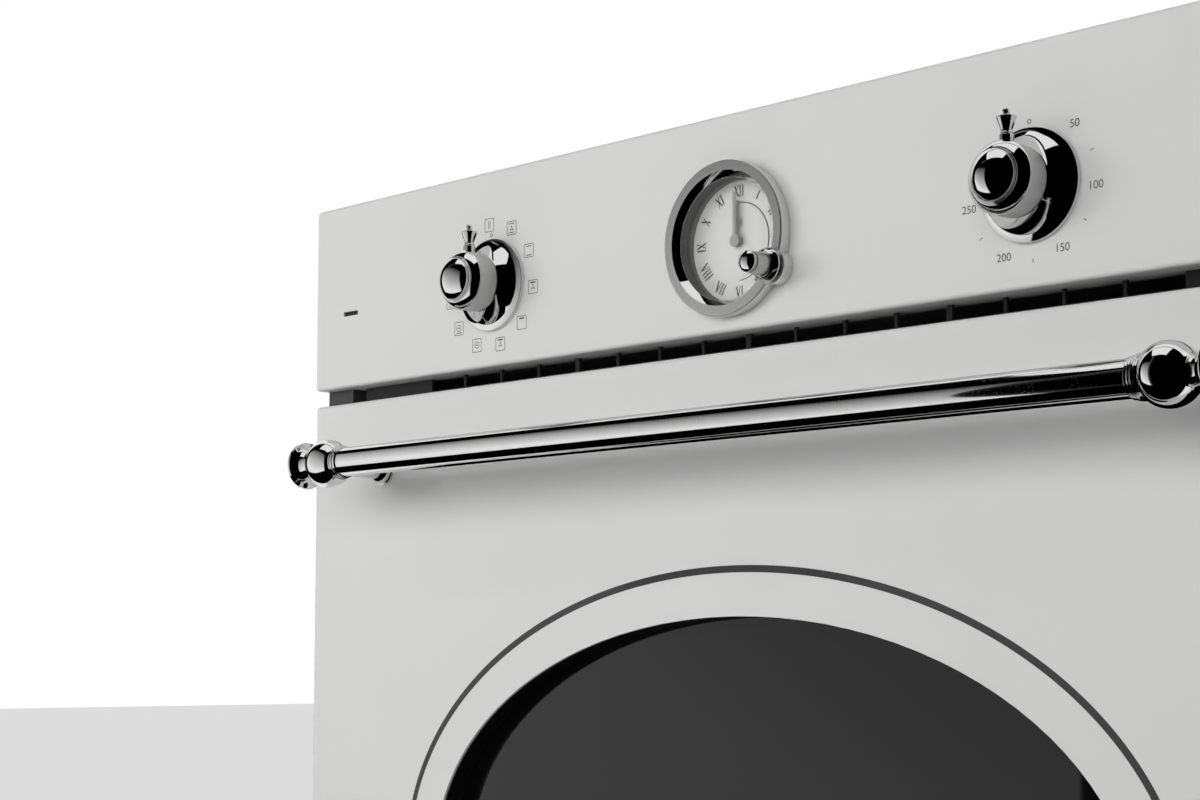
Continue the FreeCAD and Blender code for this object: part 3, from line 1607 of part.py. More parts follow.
controlPanel()
indicatorLenses()
controlTray()
ventGrille()
for controlName, controlSide in (("function", -1), ("temperature", 1)):
    rosette(f"{controlName}_rosette", controlSide)
    knob(f"{controlName}_knob", controlSide)
    lever(f"{controlName}_lever", controlSide)
    spindle(f"{controlName}_spindle", controlSide)
functionSwitch()
thermostat()
clockBezel()
clockDial()
clockGlass()
clockMovement()
minuteHand()
hourHand()
clockSpindle()
clockKnob()
doorFrontPanel()
windowCollar()
windowGlass()
innerGlass()
doorTopTrim()
handleBar()
handleEnds()
for sideName, sideSign in sides.items():
    doorChannel(f"door_{sideName}_channel", sideSign)
    sidePanel(f"{sideName}_side_panel", sideSign)
    rack(f"{sideName}_rack", sideSign)
hingeArms()
hingeBrackets()
basePlate()
topCover()
rearCover()
casingScrews()
cableGland()
frontFrame()
cavityLiner()
insulationBlanket()
doorGasket()
airDuct()
wireShelf()
bakingTray()
grillElement()
bottomElement()
ringElement()
fanWheel()
convectionMotor()
fanBaffle()
ovenLamp()
blowerHousing()
blowerMotor()
blowerWheel()

doc.recompute()
failed = [item.Name for item in doc.Objects if {"Invalid", "Error"} & set(item.State)]
if failed:
    raise RuntimeError(f"these objects failed: {failed}")
for item in nodes:
    if item.Shape.isNull() or not item.Shape.isValid() or not item.Shape.Solids:
        raise RuntimeError(f"{item.Label} has no valid solid")

os.makedirs("parts", exist_ok=True)
for item in nodes:
    item.Shape.exportStep(os.path.join("parts", f"{item.Label}.step"))
    print(item.Label, len(item.Shape.Solids), round(item.Shape.Volume / 1000, 2), "cm3")
print(len(nodes), "nodes")
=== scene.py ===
import math

import bpy
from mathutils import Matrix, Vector


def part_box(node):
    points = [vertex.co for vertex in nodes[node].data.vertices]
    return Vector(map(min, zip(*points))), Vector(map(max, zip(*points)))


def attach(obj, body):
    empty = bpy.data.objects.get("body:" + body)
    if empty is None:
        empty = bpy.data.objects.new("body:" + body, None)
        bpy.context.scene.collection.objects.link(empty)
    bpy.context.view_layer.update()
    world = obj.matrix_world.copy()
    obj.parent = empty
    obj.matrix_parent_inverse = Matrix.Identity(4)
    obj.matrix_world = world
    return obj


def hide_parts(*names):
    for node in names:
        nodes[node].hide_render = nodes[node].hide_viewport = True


# Built-in oven with an enamelled front: finishes for the solids, and the turned and printed details
mm = 0.001
quarter = math.radians(90)
weld = 0.004 * mm  # points closer than this are joined
crease = math.radians(32)  # edges sharper than this stay sharp
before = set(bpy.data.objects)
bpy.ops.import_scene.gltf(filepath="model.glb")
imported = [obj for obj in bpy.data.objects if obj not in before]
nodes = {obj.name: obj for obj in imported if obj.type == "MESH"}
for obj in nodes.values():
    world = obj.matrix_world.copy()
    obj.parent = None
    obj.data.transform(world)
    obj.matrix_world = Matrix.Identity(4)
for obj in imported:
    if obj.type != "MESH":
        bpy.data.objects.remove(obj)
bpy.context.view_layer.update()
print("frame loaded:", len(nodes), "solids")


def middle(name):
    low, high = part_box(name)
    return (low + high) / 2


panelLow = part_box("control_panel")[0]
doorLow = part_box("door_front_panel")[0]
frontY = panelLow.y
knobMiddle = middle("function_rosette")
otherKnobMiddle = middle("temperature_rosette")
clockMiddle = middle("clock_dial")
toClockAxis = (-clockMiddle.x, 0, -clockMiddle.z)
setterMiddle = middle("clock_knob")
barLow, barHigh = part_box("handle_bar")
barMiddle = (barLow + barHigh) / 2
windowMiddle = middle("window_glass")
front = Vector((0, -1, 0))
rightward = Vector((1, 0, 0))
upward = Vector((0, 0, 1))


# Colours are written as sRGB and used as linear light
def linear(code):
    parts = [int(code[start:start + 2], 16) / 255 for start in (1, 3, 5)]
    return [p / 12.92 if p <= 0.04045 else ((p + 0.055) / 1.055) ** 2.4 for p in parts] + [1.0]


# Adds a node with its settings; an input is a value or the socket that feeds it
# Inputs without a name of their own go by number: a colour mix has 0, 6 and 7 for its factor and colours,
# and a range has 3 and 4 for its new ends
def addNode(tree, kind, inputs, **settings):
    node = tree.nodes.new(kind)
    for name, value in settings.items():
        setattr(node, name, value)
    for name, value in inputs.items():
        if isinstance(value, bpy.types.NodeSocket):
            tree.links.new(value, node.inputs[name])
        else:
            node.inputs[name].default_value = value
    return node


# A new material; what is the same all over is set on its shader
def newMaterial(name, **even):
    material = bpy.data.materials.new(name)
    material.use_nodes = True
    tree = material.node_tree
    shader = tree.nodes["Principled BSDF"]
    for key, value in even.items():
        shader.inputs[key.replace("_", " ")].default_value = value
    place = addNode(tree, "ShaderNodeTexCoord", {}).outputs["Object"]
    return material, tree, shader.inputs, place


# Satin vitreous enamel fired on pressed steel: even colour, a faint orange peel and a soft wide gloss
def enamelFinish(name, colour, shade, rough):
    material, tree, surface, place = newMaterial(name, Specular_IOR_Level=0.3)
    peel = addNode(tree, "ShaderNodeTexNoise", {"Vector": place, "Scale": 1 / (2.4 * mm), "Detail": 2.0})
    cloud = addNode(tree, "ShaderNodeTexNoise", {"Vector": place, "Scale": 1 / (90 * mm), "Detail": 3.0})
    tone = addNode(
        tree, "ShaderNodeMix", {0: cloud.outputs[0], 6: linear(colour), 7: linear(shade)}, data_type="RGBA"
    )
    gloss = addNode(tree, "ShaderNodeMapRange", {0: cloud.outputs[0], 3: rough - 0.06, 4: rough + 0.06})
    relief = addNode(tree, "ShaderNodeBump", {"Height": peel.outputs[0], "Distance": 0.02 * mm, "Strength": 0.2})
    tree.links.new(tone.outputs[2], surface["Base Color"])
    tree.links.new(gloss.outputs[0], surface["Roughness"])
    tree.links.new(relief.outputs[0], surface["Normal"])
    return material


# Chrome plate on polished metal: a mirror with polishing marks, and scattered pits where it is handled
def chromeFinish(name, colour, shade, rough, pits, pitSize):
    material, tree, surface, place = newMaterial(name, Metallic=1.0)
    marks = addNode(tree, "ShaderNodeTexNoise", {"Vector": place, "Scale": 1 / (7 * mm), "Detail": 5.0})
    grit = addNode(tree, "ShaderNodeTexVoronoi", {"Vector": place, "Scale": 1 / (pitSize * mm)})
    spot = addNode(tree, "ShaderNodeMath", {0: grit.outputs["Distance"], 1: pits}, operation="LESS_THAN")
    worn = addNode(tree, "ShaderNodeMath", {0: spot.outputs[0], 1: marks.outputs[0]}, operation="MULTIPLY")
    gloss = addNode(tree, "ShaderNodeMath", {0: worn.outputs[0], 1: 0.35, 2: rough}, operation="MULTIPLY_ADD")
    tone = addNode(
        tree, "ShaderNodeMix", {0: marks.outputs[0], 6: linear(colour), 7: linear(shade)}, data_type="RGBA"
    )
    tree.links.new(tone.outputs[2], surface["Base Color"])
    tree.links.new(gloss.outputs[0], surface["Roughness"])
    return material


# Blasted and plated steel: an even grey grain with no clear reflection
def satinFinish(name, colour, shade, rough, grain):
    material, tree, surface, place = newMaterial(name, Metallic=1.0)
    blast = addNode(tree, "ShaderNodeTexNoise", {"Vector": place, "Scale": 1 / (grain * mm), "Detail": 3.0})
    tone = addNode(
        tree, "ShaderNodeMix", {0: blast.outputs[0], 6: linear(colour), 7: linear(shade)}, data_type="RGBA"
    )
    gloss = addNode(tree, "ShaderNodeMapRange", {0: blast.outputs[0], 3: rough - 0.08, 4: rough + 0.08})
    relief = addNode(tree, "ShaderNodeBump", {"Height": blast.outputs[0], "Distance": 0.01 * mm, "Strength": 0.3})
    tree.links.new(tone.outputs[2], surface["Base Color"])
    tree.links.new(gloss.outputs[0], surface["Roughness"])
    tree.links.new(relief.outputs[0], surface["Normal"])
    return material


# Hot-dip galvanised sheet: zinc crystals about a centimetre wide, each with its own tone and gloss
def zincFinish(name):
    material, tree, surface, place = newMaterial(name, Metallic=0.85)
    spangle = addNode(tree, "ShaderNodeTexVoronoi", {"Vector": place, "Scale": 1 / (9 * mm)})
    crystal = addNode(tree, "ShaderNodeSeparateColor", {"Color": spangle.outputs["Color"]})
    tone = addNode(
        tree, "ShaderNodeMix", {0: crystal.outputs[0], 6: linear("#ABAEB0"), 7: linear("#B8BBBD")}, data_type="RGBA"
    )
    gloss = addNode(tree, "ShaderNodeMapRange", {0: crystal.outputs[1], 3: 0.46, 4: 0.56})
    tree.links.new(tone.outputs[2], surface["Base Color"])
    tree.links.new(gloss.outputs[0], surface["Roughness"])
    return material


# Cavity enamel: dark grey glass coat with pale flecks
def cavityFinish(name, ground, fleck):
    material, tree, surface, place = newMaterial(name, Roughness=0.24, Specular_IOR_Level=0.5)
    flecks = addNode(tree, "ShaderNodeTexVoronoi", {"Vector": place, "Scale": 1 / (3.2 * mm)})
    dots = addNode(tree, "ShaderNodeMath", {0: flecks.outputs["Distance"], 1: 0.14}, operation="LESS_THAN")
    tone = addNode(
        tree, "ShaderNodeMix", {0: dots.outputs[0], 6: linear(ground), 7: linear(fleck)}, data_type="RGBA"
    )
    peel = addNode(tree, "ShaderNodeTexNoise", {"Vector": place, "Scale": 1 / (4 * mm)})
    relief = addNode(tree, "ShaderNodeBump", {"Height": peel.outputs[0], "Distance": 0.03 * mm, "Strength": 0.3})
    tree.links.new(tone.outputs[2], surface["Base Color"])
    tree.links.new(relief.outputs[0], surface["Normal"])
    return material


# Moulded thermoplastic, paint or rubber with a fine grain
def grainFinish(name, colour, shade, rough, grain):
    material, tree, surface, place = newMaterial(name, Specular_IOR_Level=0.4)
    tooth = addNode(tree, "ShaderNodeTexNoise", {"Vector": place, "Scale": 1 / (grain * mm), "Detail": 2.0})
    tone = addNode(
        tree, "ShaderNodeMix", {0: tooth.outputs[0], 6: linear(colour), 7: linear(shade)}, data_type="RGBA"
    )
    gloss = addNode(tree, "ShaderNodeMapRange", {0: tooth.outputs[0], 3: rough - 0.06, 4: rough + 0.06})
    relief = addNode(tree, "ShaderNodeBump", {"Height": tooth.outputs[0], "Distance": 0.03 * mm, "Strength": 0.3})
    tree.links.new(tone.outputs[2], surface["Base Color"])
    tree.links.new(gloss.outputs[0], surface["Roughness"])
    tree.links.new(relief.outputs[0], surface["Normal"])
    return material


# Float glass with a faint film; a dark one is smoked in the body
def glassFinish(name, tint, rough, through, solid, shine):
    material, tree, surface, place = newMaterial(
        name, IOR=1.5, Transmission_Weight=through, Alpha=solid, Specular_IOR_Level=shine
    )
    film = addNode(tree, "ShaderNodeTexNoise", {"Vector": place, "Scale": 1 / (60 * mm)})
    gloss = addNode(tree, "ShaderNodeMapRange", {0: film.outputs[0], 3: rough, 4: rough + 0.03})
    surface["Base Color"].default_value = linear(tint)
    tree.links.new(gloss.outputs[0], surface["Roughness"])
    return material


# Steel sheath of a heater: dark oxide with heat tints along its length
def sheathFinish(name):
    material, tree, surface, place = newMaterial(name, Metallic=0.7, Roughness=0.5)
    tint = addNode(tree, "ShaderNodeTexNoise", {"Vector": place, "Scale": 1 / (45 * mm), "Detail": 3.0})
    tone = addNode(
        tree, "ShaderNodeMix", {0: tint.outputs[0], 6: linear("#3A3430"), 7: linear("#5C5654")}, data_type="RGBA"
    )
    tree.links.new(tone.outputs[2], surface["Base Color"])
    return material


# Glass wool: matted pale yellow fibres
def woolFinish(name):
    material, tree, surface, place = newMaterial(name, Roughness=0.95, Specular_IOR_Level=0.1)
    fibre = addNode(tree, "ShaderNodeTexNoise", {"Vector": place, "Scale": 1 / (1.5 * mm), "Detail": 6.0})
    tone = addNode(
        tree, "ShaderNodeMix", {0: fibre.outputs[0], 6: linear("#A89A68"), 7: linear("#DDD3A8")}, data_type="RGBA"
    )
    relief = addNode(tree, "ShaderNodeBump", {"Height": fibre.outputs[0], "Distance": 1.0 * mm, "Strength": 0.8})
    tree.links.new(tone.outputs[2], surface["Base Color"])
    tree.links.new(relief.outputs[0], surface["Normal"])
    return material


# How far a point lies from the clock's axis
def clockReach(tree, place):
    spot = addNode(tree, "ShaderNodeMapping", {"Vector": place, "Location": toClockAxis, "Scale": (1, 0, 1)})
    return addNode(tree, "ShaderNodeVectorMath", {0: spot.outputs[0]}, operation="LENGTH").outputs["Value"]


# Clock dial: matte paint inside the dial's edge, and a dark spun cone outside it
def dialFinish(name, edge):
    material, tree, surface, place = newMaterial(name, Specular_IOR_Level=0.2)
    reach = clockReach(tree, place)
    cone = addNode(tree, "ShaderNodeMath", {0: reach, 1: edge * mm}, operation="GREATER_THAN")
    speck = addNode(tree, "ShaderNodeTexNoise", {"Vector": place, "Scale": 1 / (0.5 * mm), "Detail": 3.0})
    steel = addNode(
        tree, "ShaderNodeMix", {0: speck.outputs[0], 6: linear("#4E4E4D"), 7: linear("#767675")}, data_type="RGBA"
    )
    tone = addNode(
        tree, "ShaderNodeMix", {0: cone.outputs[0], 6: linear("#D6D6D4"), 7: steel.outputs[2]}, data_type="RGBA"
    )
    gloss = addNode(tree, "ShaderNodeMapRange", {0: cone.outputs[0], 3: 0.75, 4: 0.45})
    tree.links.new(tone.outputs[2], surface["Base Color"])
    tree.links.new(gloss.outputs[0], surface["Roughness"])
    tree.links.new(cone.outputs[0], surface["Metallic"])
    return material


# Clock bezel: blasted steel, with a polished wall towards the glass
def bezelFinish(name, wall):
    material, tree, surface, place = newMaterial(name, Metallic=1.0)
    reach = clockReach(tree, place)
    satin = addNode(tree, "ShaderNodeMath", {0: reach, 1: wall * mm}, operation="GREATER_THAN")
    blast = addNode(tree, "ShaderNodeTexNoise", {"Vector": place, "Scale": 1 / (0.5 * mm), "Detail": 3.0})
    grey = addNode(
        tree, "ShaderNodeMix", {0: blast.outputs[0], 6: linear("#DEDEDC"), 7: linear("#E8E8E6")}, data_type="RGBA"
    )
    tone = addNode(
        tree, "ShaderNodeMix", {0: satin.outputs[0], 6: linear("#E0E0DE"), 7: grey.outputs[2]}, data_type="RGBA"
    )
    gloss = addNode(tree, "ShaderNodeMapRange", {0: satin.outputs[0], 3: 0.06, 4: 0.42})
    tree.links.new(tone.outputs[2], surface["Base Color"])
    tree.links.new(gloss.outputs[0], surface["Roughness"])
    return material


enamel = enamelFinish("fired_enamel_white", "#D4D4D3", "#D9D9D8", 0.5)
chrome = chromeFinish("polished_chrome", "#E2E2E0", "#D8D8D6", 0.045, 0.0, 2.0)
barChrome = chromeFinish("handled_chrome", "#E2E2E0", "#D8D8D6", 0.05, 0.16, 0.8)
wireChrome = chromeFinish("plated_wire", "#C9C9C7", "#D8D8D6", 0.3, 0.1, 3.0)
satinSteel = satinFinish("blasted_steel", "#C4C4C3", "#D2D2D1", 0.5, 0.5)
machined = satinFinish("machined_steel", "#9C9C9A", "#B0B0AE", 0.32, 1.2)
handPaint = grainFinish("speckled_hand_paint", "#848483", "#A6A6A5", 0.55, 0.45)
bezelSteel = bezelFinish("bezel_steel", 30.2)
sleeveSteel = satinFinish("dull_sleeve_steel", "#6A6A69", "#8A8A89", 0.6, 0.5)
zinc = zincFinish("galvanised_sheet")
cavityCoat = cavityFinish("cavity_enamel", "#4A4E52", "#8C9094")
frameCoat = grainFinish("frame_enamel", "#38383A", "#404042", 0.45, 1.0)
blackPlastic = grainFinish("moulded_black", "#121212", "#1B1B1B", 0.5, 0.5)
darkPlate = grainFinish("coated_dark_plate", "#1E1E1E", "#262626", 0.6, 0.5)
gasketRubber = grainFinish("grey_silicone", "#2E2E2F", "#38383A", 0.7, 0.8)
dialPaint = dialFinish("dial_paint_and_cone", 27.3)
ink = grainFinish("screen_ink", "#3C3C3C", "#464646", 0.6, 0.4)
dialInk = grainFinish("dial_ink", "#1E1E1E", "#282828", 0.6, 0.4)
smokedGlass = glassFinish("smoked_glass", "#0A0A0A", 0.02, 0.0, 1.0, 0.4)
clearGlass = glassFinish("clear_float_glass", "#FFFFFF", 0.0, 1.0, 1.0, 0.5)
# The clock glass is so thin that the dial is seen straight through it
watchGlass = glassFinish("thin_clock_glass", "#FFFFFF", 0.0, 1.0, 0.12, 0.5)
sheath = sheathFinish("heat_tinted_sheath")
glassWool = woolFinish("glass_wool")
print("finishes made")


def dress(finish, *names):
    for name in names:
        mesh = nodes[name].data
        mesh.materials.clear()
        mesh.materials.append(finish)


dress(enamel, "control_panel", "door_front_panel")
dress(chrome, "function_rosette", "temperature_rosette", "function_knob", "temperature_knob")
dress(chrome, "function_lever", "temperature_lever", "handle_finials", "handle_posts", "clock_knob")
dress(barChrome, "handle_bar")
dress(wireChrome, "left_rack", "right_rack", "wire_shelf")
dress(bezelSteel, "clock_bezel")
dress(machined, "function_spindle", "temperature_spindle", "clock_spindle", "fan_wheel", "blower_wheel")
dress(machined, "hinge_arms", "hinge_brackets", "casing_screws")
dress(handPaint, "minute_hand", "hour_hand")
dress(zinc, "base_plate", "left_side_panel", "right_side_panel", "top_cover", "rear_cover", "air_duct")
dress(zinc, "control_tray", "blower_housing", "door_left_channel", "door_right_channel")
dress(cavityCoat, "cavity_liner", "baking_tray", "fan_baffle")
dress(frameCoat, "front_frame")
dress(blackPlastic, "door_top_trim", "indicator_lenses", "function_switch", "thermostat", "window_collar")
dress(blackPlastic, "clock_movement", "cable_gland", "blower_motor", "convection_motor")
dress(darkPlate, "vent_grille")
dress(gasketRubber, "door_gasket")
dress(dialPaint, "clock_dial")
dress(smokedGlass, "window_glass")
dress(clearGlass, "inner_glass", "oven_lamp")
dress(watchGlass, "clock_glass")
dress(sheath, "grill_element", "bottom_element", "ring_element")
dress(glassWool, "insulation_blanket")
nodes["clock_glass"].visible_shadow = False  # thin panes, so what lies behind keeps its light
nodes["inner_glass"].visible_shadow = False
print("solids dressed")


def deselect():
    bpy.ops.object.select_all(action="DESELECT")


def namePiece(name, finish):
    piece = bpy.context.object
    piece.name = name
    piece.data.name = name
    piece.data.materials.clear()
    piece.data.materials.append(finish)
    return piece


def applyPlace():
    bpy.ops.object.transform_apply(location=True, rotation=True, scale=True)


# Copies a piece with its own mesh to another place
def copyPiece(piece, name, shift, halfTurn=None):
    deselect()
    piece.select_set(True)
    bpy.context.view_layer.objects.active = piece
    bpy.ops.object.duplicate()
    if halfTurn:
        bpy.ops.transform.rotate(value=math.pi, orient_axis="Z", center_override=halfTurn)
    bpy.ops.transform.translate(value=shift)
    applyPlace()
    twin = bpy.context.object
    twin.name = name
    twin.data.name = name
    return twin


# Softens the corners of a profile: a small rounding has 4 parts, a large one 10
def softProfile(corners):
    points = [Vector(corners[0][:2])]
    for before, corner, after in zip(corners, corners[1:], corners[2:]):
        tip = Vector(corner[:2])
        back = (Vector(before[:2]) - tip).normalized() * corner[2]
        ahead = (Vector(after[:2]) - tip).normalized() * corner[2]
        parts = 0 if corner[2] == 0 else 4 if corner[2] < 1 else 10
        for step in range(parts + 1):
            along = step / max(parts, 1)
            points.append(tip + back * (1 - along) ** 2 + ahead * along ** 2)
    return points + [Vector(corners[-1][:2])]


# Corners along an arc, from one angle to another, for a profile
def arcCorners(centre, radius, first, last, parts):
    angles = [math.radians(first + (last - first) * step / parts) for step in range(parts + 1)]
    return [(centre[0] + radius * math.cos(a), centre[1] + radius * math.sin(a), 0) for a in angles]


# Corners of a dome on a cap, from the cap's edge to its middle
def domeCorners(cap, foot, dome, parts):
    edge = math.acos(cap / dome)
    return arcCorners((0, foot - dome * math.sin(edge)), dome, math.degrees(edge), 90, parts)


# Turns a profile in millimetres about an axis: a point is drawn out along it and spun
def turnPiece(name, corners, foot, axis, side, steps, finish):
    profile = [foot + side * (p.x * mm) + axis * (p.y * mm) for p in softProfile(corners)]
    deselect()
    bpy.ops.mesh.primitive_plane_add(size=mm, location=profile[0])
    bpy.ops.object.mode_set(mode="EDIT")
    bpy.ops.mesh.merge(type="CENTER")
    for start, end in zip(profile, profile[1:]):
        bpy.ops.mesh.extrude_region_move(TRANSFORM_OT_translate={"value": end - start})
    bpy.ops.mesh.select_all(action="SELECT")
    bpy.ops.mesh.spin(steps=steps, angle=2 * math.pi, center=foot, axis=axis)
    bpy.ops.mesh.select_all(action="SELECT")
    bpy.ops.mesh.remove_doubles(threshold=weld)
    bpy.ops.mesh.normals_make_consistent(inside=False)
    bpy.ops.object.mode_set(mode="OBJECT")
    applyPlace()
    bpy.ops.object.shade_smooth_by_angle(angle=crease)
    return namePiece(name, finish)


# Gives a second finish to the faces between two distances in front of the panel
def coatFaces(piece, finish, low, high):
    piece.data.materials.append(finish)
    for face in piece.data.polygons:
        if low * mm < frontY - face.center.y < high * mm:
            face.material_index = 1


# In the shapes below a corner is radius, distance, rounding; an arc is centre, radius, first and last angle, parts
# Rosette: conical rim with a soft edge, then a flaring bell up to the knob
rosetteShape = {
    "rim": [(0, 0, 0), (22.7, 0, 0), (22.7, 1.9, 0.35)],
    "bell": ((31.84, 18.47), 20.0, 233, 207, 24),
    "top": [(13.6, 9.7, 0.3), (0, 9.7, 0)],
    "steps": 192,
}
panelSpot = Vector((knobMiddle.x, frontY, knobMiddle.z))
rosetteCorners = rosetteShape["rim"] + arcCorners(*rosetteShape["bell"]) + rosetteShape["top"]
functionRosette = turnPiece(
    "function_rosette_turned", rosetteCorners, panelSpot, front, rightward, rosetteShape["steps"], chrome
)

# Knob: satin waist, groove and bead, rolled shoulder, stepped collar and a domed cap
knobShape = {
    "waist": [(0, 10.2, 0), (14.2, 10.2, 0.15), (14.2, 20.2, 0.1)],
    "groove": [(13.8, 20.3, 0), (13.8, 20.5, 0), (14.45, 20.6, 0.1)],
    "roll": ((6.56, 16.63), 8.93, 28.6, 58, 24),
    "collar": [(10.9, 24.25, 0.08), (10.9, 24.9, 0.12), (10.5, 24.95, 0.06), (10.5, 25.5, 0.12)],
    "lastStep": [(10.2, 25.55, 0.06), (10.2, 26.0, 0.1)],
    "cap": 10.04, "capFoot": 26.26, "dome": 14.2, "domeParts": 24,
    "satin": (10.3, 20.1), "steps": 192,
}
knobCorners = knobShape["waist"] + knobShape["groove"] + arcCorners(*knobShape["roll"])
knobCorners += knobShape["collar"] + knobShape["lastStep"]
knobCorners += domeCorners(knobShape["cap"], knobShape["capFoot"], knobShape["dome"], knobShape["domeParts"])
functionKnob = turnPiece(
    "function_knob_turned", knobCorners, panelSpot, front, rightward, knobShape["steps"], chrome
)
coatFaces(functionKnob, satinSteel, *knobShape["satin"])

# Lever: stem, collar, flared cup and a ball on the end
leverShape = {
    "out": 15.5,
    "stem": [(0, 10.0, 0), (2.9, 10.0, 0), (2.9, 17.4, 0.3)],
    "collar": [(2.3, 17.7, 0.2), (2.6, 18.1, 0.15), (2.3, 18.5, 0.2), (2.3, 19.3, 0.3)],
    "cup": [(3.969, 23.9, 0.4), (4.05, 24.5, 0.25), (0.9, 24.65, 0.1), (0.8, 25.1, 0.1)],
    "ball": ((0, 26.55), 1.6, -58, 90, 12),
    "steps": 64,
}
leverFoot = panelSpot + front * (leverShape["out"] * mm)
leverCorners = leverShape["stem"] + leverShape["collar"] + leverShape["cup"] + arcCorners(*leverShape["ball"])
functionLever = turnPiece(
    "function_lever_turned", leverCorners, leverFoot, upward, rightward, leverShape["steps"], chrome
)

# The temperature control repeats the function control on the other side of the clock
across = Vector((otherKnobMiddle.x - knobMiddle.x, 0, 0))
temperatureRosette = copyPiece(functionRosette, "temperature_rosette_turned", across)
temperatureKnob = copyPiece(functionKnob, "temperature_knob_turned", across)
temperatureLever = copyPiece(functionLever, "temperature_lever_turned", across)
for piece, body, node in (
    (functionRosette, "oven", "function_rosette"),
    (functionKnob, "function_control", "function_knob"),
    (functionLever, "function_control", "function_lever"),
    (temperatureRosette, "oven", "temperature_rosette"),
    (temperatureKnob, "temperature_control", "temperature_knob"),
    (temperatureLever, "temperature_control", "temperature_lever"),
):
    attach(piece, body)
    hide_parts(node)
print("controls turned")

# Handle ends: ringed collar, bulb, neck and a flared end
finialShape = {
    "foot": [(0, -2.9, 0), (7.9, -2.9, 0.1), (7.9, -1.9, 0.2), (7.5, -1.7, 0.1), (7.5, -1.5, 0.1)],
    "rings": [(8.3, -1.3, 0.2), (8.3, -0.5, 0.2), (7.7, -0.3, 0.1), (7.7, -0.1, 0.1)],
    "collar": [(8.6, 0.1, 0.2), (8.6, 0.8, 0.25), (7.3, 1.1, 0.1)],
    "bulb": ((0, 11.0), 12.0, -53, 53, 36),
    "neck": [(7.0, 20.9, 0.2), (6.2, 21.3, 0.3), (6.3, 26.0, 3.6)],
    "flare": [(11.6, 28.2, 0.2), (11.9, 28.9, 0.35), (11.7, 29.6, 0.4), (8.0, 31.0, 1.5), (0, 31.6, 0)],
    "steps": 128,
}
barEnd = Vector((barLow.x, barMiddle.y, barMiddle.z))
finialCorners = finialShape["foot"] + finialShape["rings"] + finialShape["collar"]
finialCorners += arcCorners(*finialShape["bulb"]) + finialShape["neck"] + finialShape["flare"]
leftFinial = turnPiece("left_finial_turned", finialCorners, barEnd, -rightward, upward, finialShape["steps"], chrome)
rightFinial = copyPiece(leftFinial, "right_finial_turned", (0, 0, 0), tuple(barMiddle))
for finial in (leftFinial, rightFinial):
    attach(finial, "door")
    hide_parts("handle_finials")

# Clock setting knob: knurled grip and a polished cap
setterShape = {
    "grip": [(0, 9.3, 0), (4.95, 9.3, 0), (5.15, 9.6, 0), (5.15, 18.8, 0)],
    "neck": [(4.75, 19.0, 0.05), (4.75, 20.65, 0), (4.95, 20.8, 0.1)],
    "cap": 4.9, "capFoot": 21.0, "dome": 8.0, "domeParts": 16,
    "satin": (9.0, 20.7), "ridges": 32, "ridgeFrom": 5.1, "depth": 0.93,
}
setterSpot = Vector((setterMiddle.x, frontY, setterMiddle.z))
setterCorners = setterShape["grip"] + setterShape["neck"]
setterCorners += domeCorners(
    setterShape["cap"], setterShape["capFoot"], setterShape["dome"], setterShape["domeParts"]
)
setterKnob = turnPiece(
    "clock_knob_turned", setterCorners, setterSpot, front, rightward, setterShape["ridges"] * 2, chrome
)
coatFaces(setterKnob, satinSteel, *setterShape["satin"])
ridge = math.pi / setterShape["ridges"]
bpy.ops.object.mode_set(mode="EDIT")
bpy.ops.mesh.select_mode(type="VERT")
bpy.ops.object.mode_set(mode="OBJECT")
for vertex in setterKnob.data.vertices:
    out = vertex.co - setterSpot
    turn = round(math.atan2(out.z, out.x) / ridge)
    vertex.select = turn % 2 == 1 and math.hypot(out.x, out.z) > setterShape["ridgeFrom"] * mm
bpy.ops.object.mode_set(mode="EDIT")
bpy.ops.transform.resize(value=(setterShape["depth"], 1, setterShape["depth"]), center_override=setterSpot)
bpy.ops.object.mode_set(mode="OBJECT")
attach(setterKnob, "clock_setting_knob")
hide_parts("clock_knob")

# Bulging ring round the setting knob, on the bezel's lug
ringShape = {
    "wall": [(5.45, 6.0, 0), (6.7, 6.0, 0.1)],
    "bulge": [(7.7, 8.6, 0.4), (6.45, 10.65, 0.2)],
    "bore": [(5.6, 11.3, 0.1), (5.45, 11.3, 0), (5.45, 6.0, 0)],
    "steps": 96,
}
ringCorners = ringShape["wall"] + ringShape["bulge"] + ringShape["bore"]
setterRing = turnPiece("setting_ring_turned", ringCorners, setterSpot, front, rightward, ringShape["steps"], chrome)
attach(setterRing, "oven")

# Lip inside the bezel: a polished slope, then a dull sleeve down to the dial
lipShape = {
    "back": [(27.7, -5.95, 0), (29.95, 2.3, 0)],
    "slope": [(29.95, 6.0, 0.1), (27.3, 2.9, 0.25)],
    "sleeve": [(27.2, -5.95, 0), (27.7, -5.95, 0)],
    "dull": (-6.0, 2.8), "steps": 192,
}
clockSpot = Vector((clockMiddle.x, frontY, clockMiddle.z))
lipCorners = lipShape["back"] + lipShape["slope"] + lipShape["sleeve"]
bezelLip = turnPiece("bezel_lip_turned", lipCorners, clockSpot, front, rightward, lipShape["steps"], chrome)
coatFaces(bezelLip, sleeveSteel, *lipShape["dull"])
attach(bezelLip, "oven")
print("handle ends, clock knob and bezel lip turned")


# Ink pieces: flat shapes facing the front, joined, given a film's thickness and laid on a face
def inkStroke(x, z, length, width, angle, y):
    bpy.ops.mesh.primitive_plane_add(size=1, location=(x, y, z), rotation=(quarter, -angle, 0))
    stroke = bpy.context.object
    stroke.scale = (length, width, 1)
    return stroke


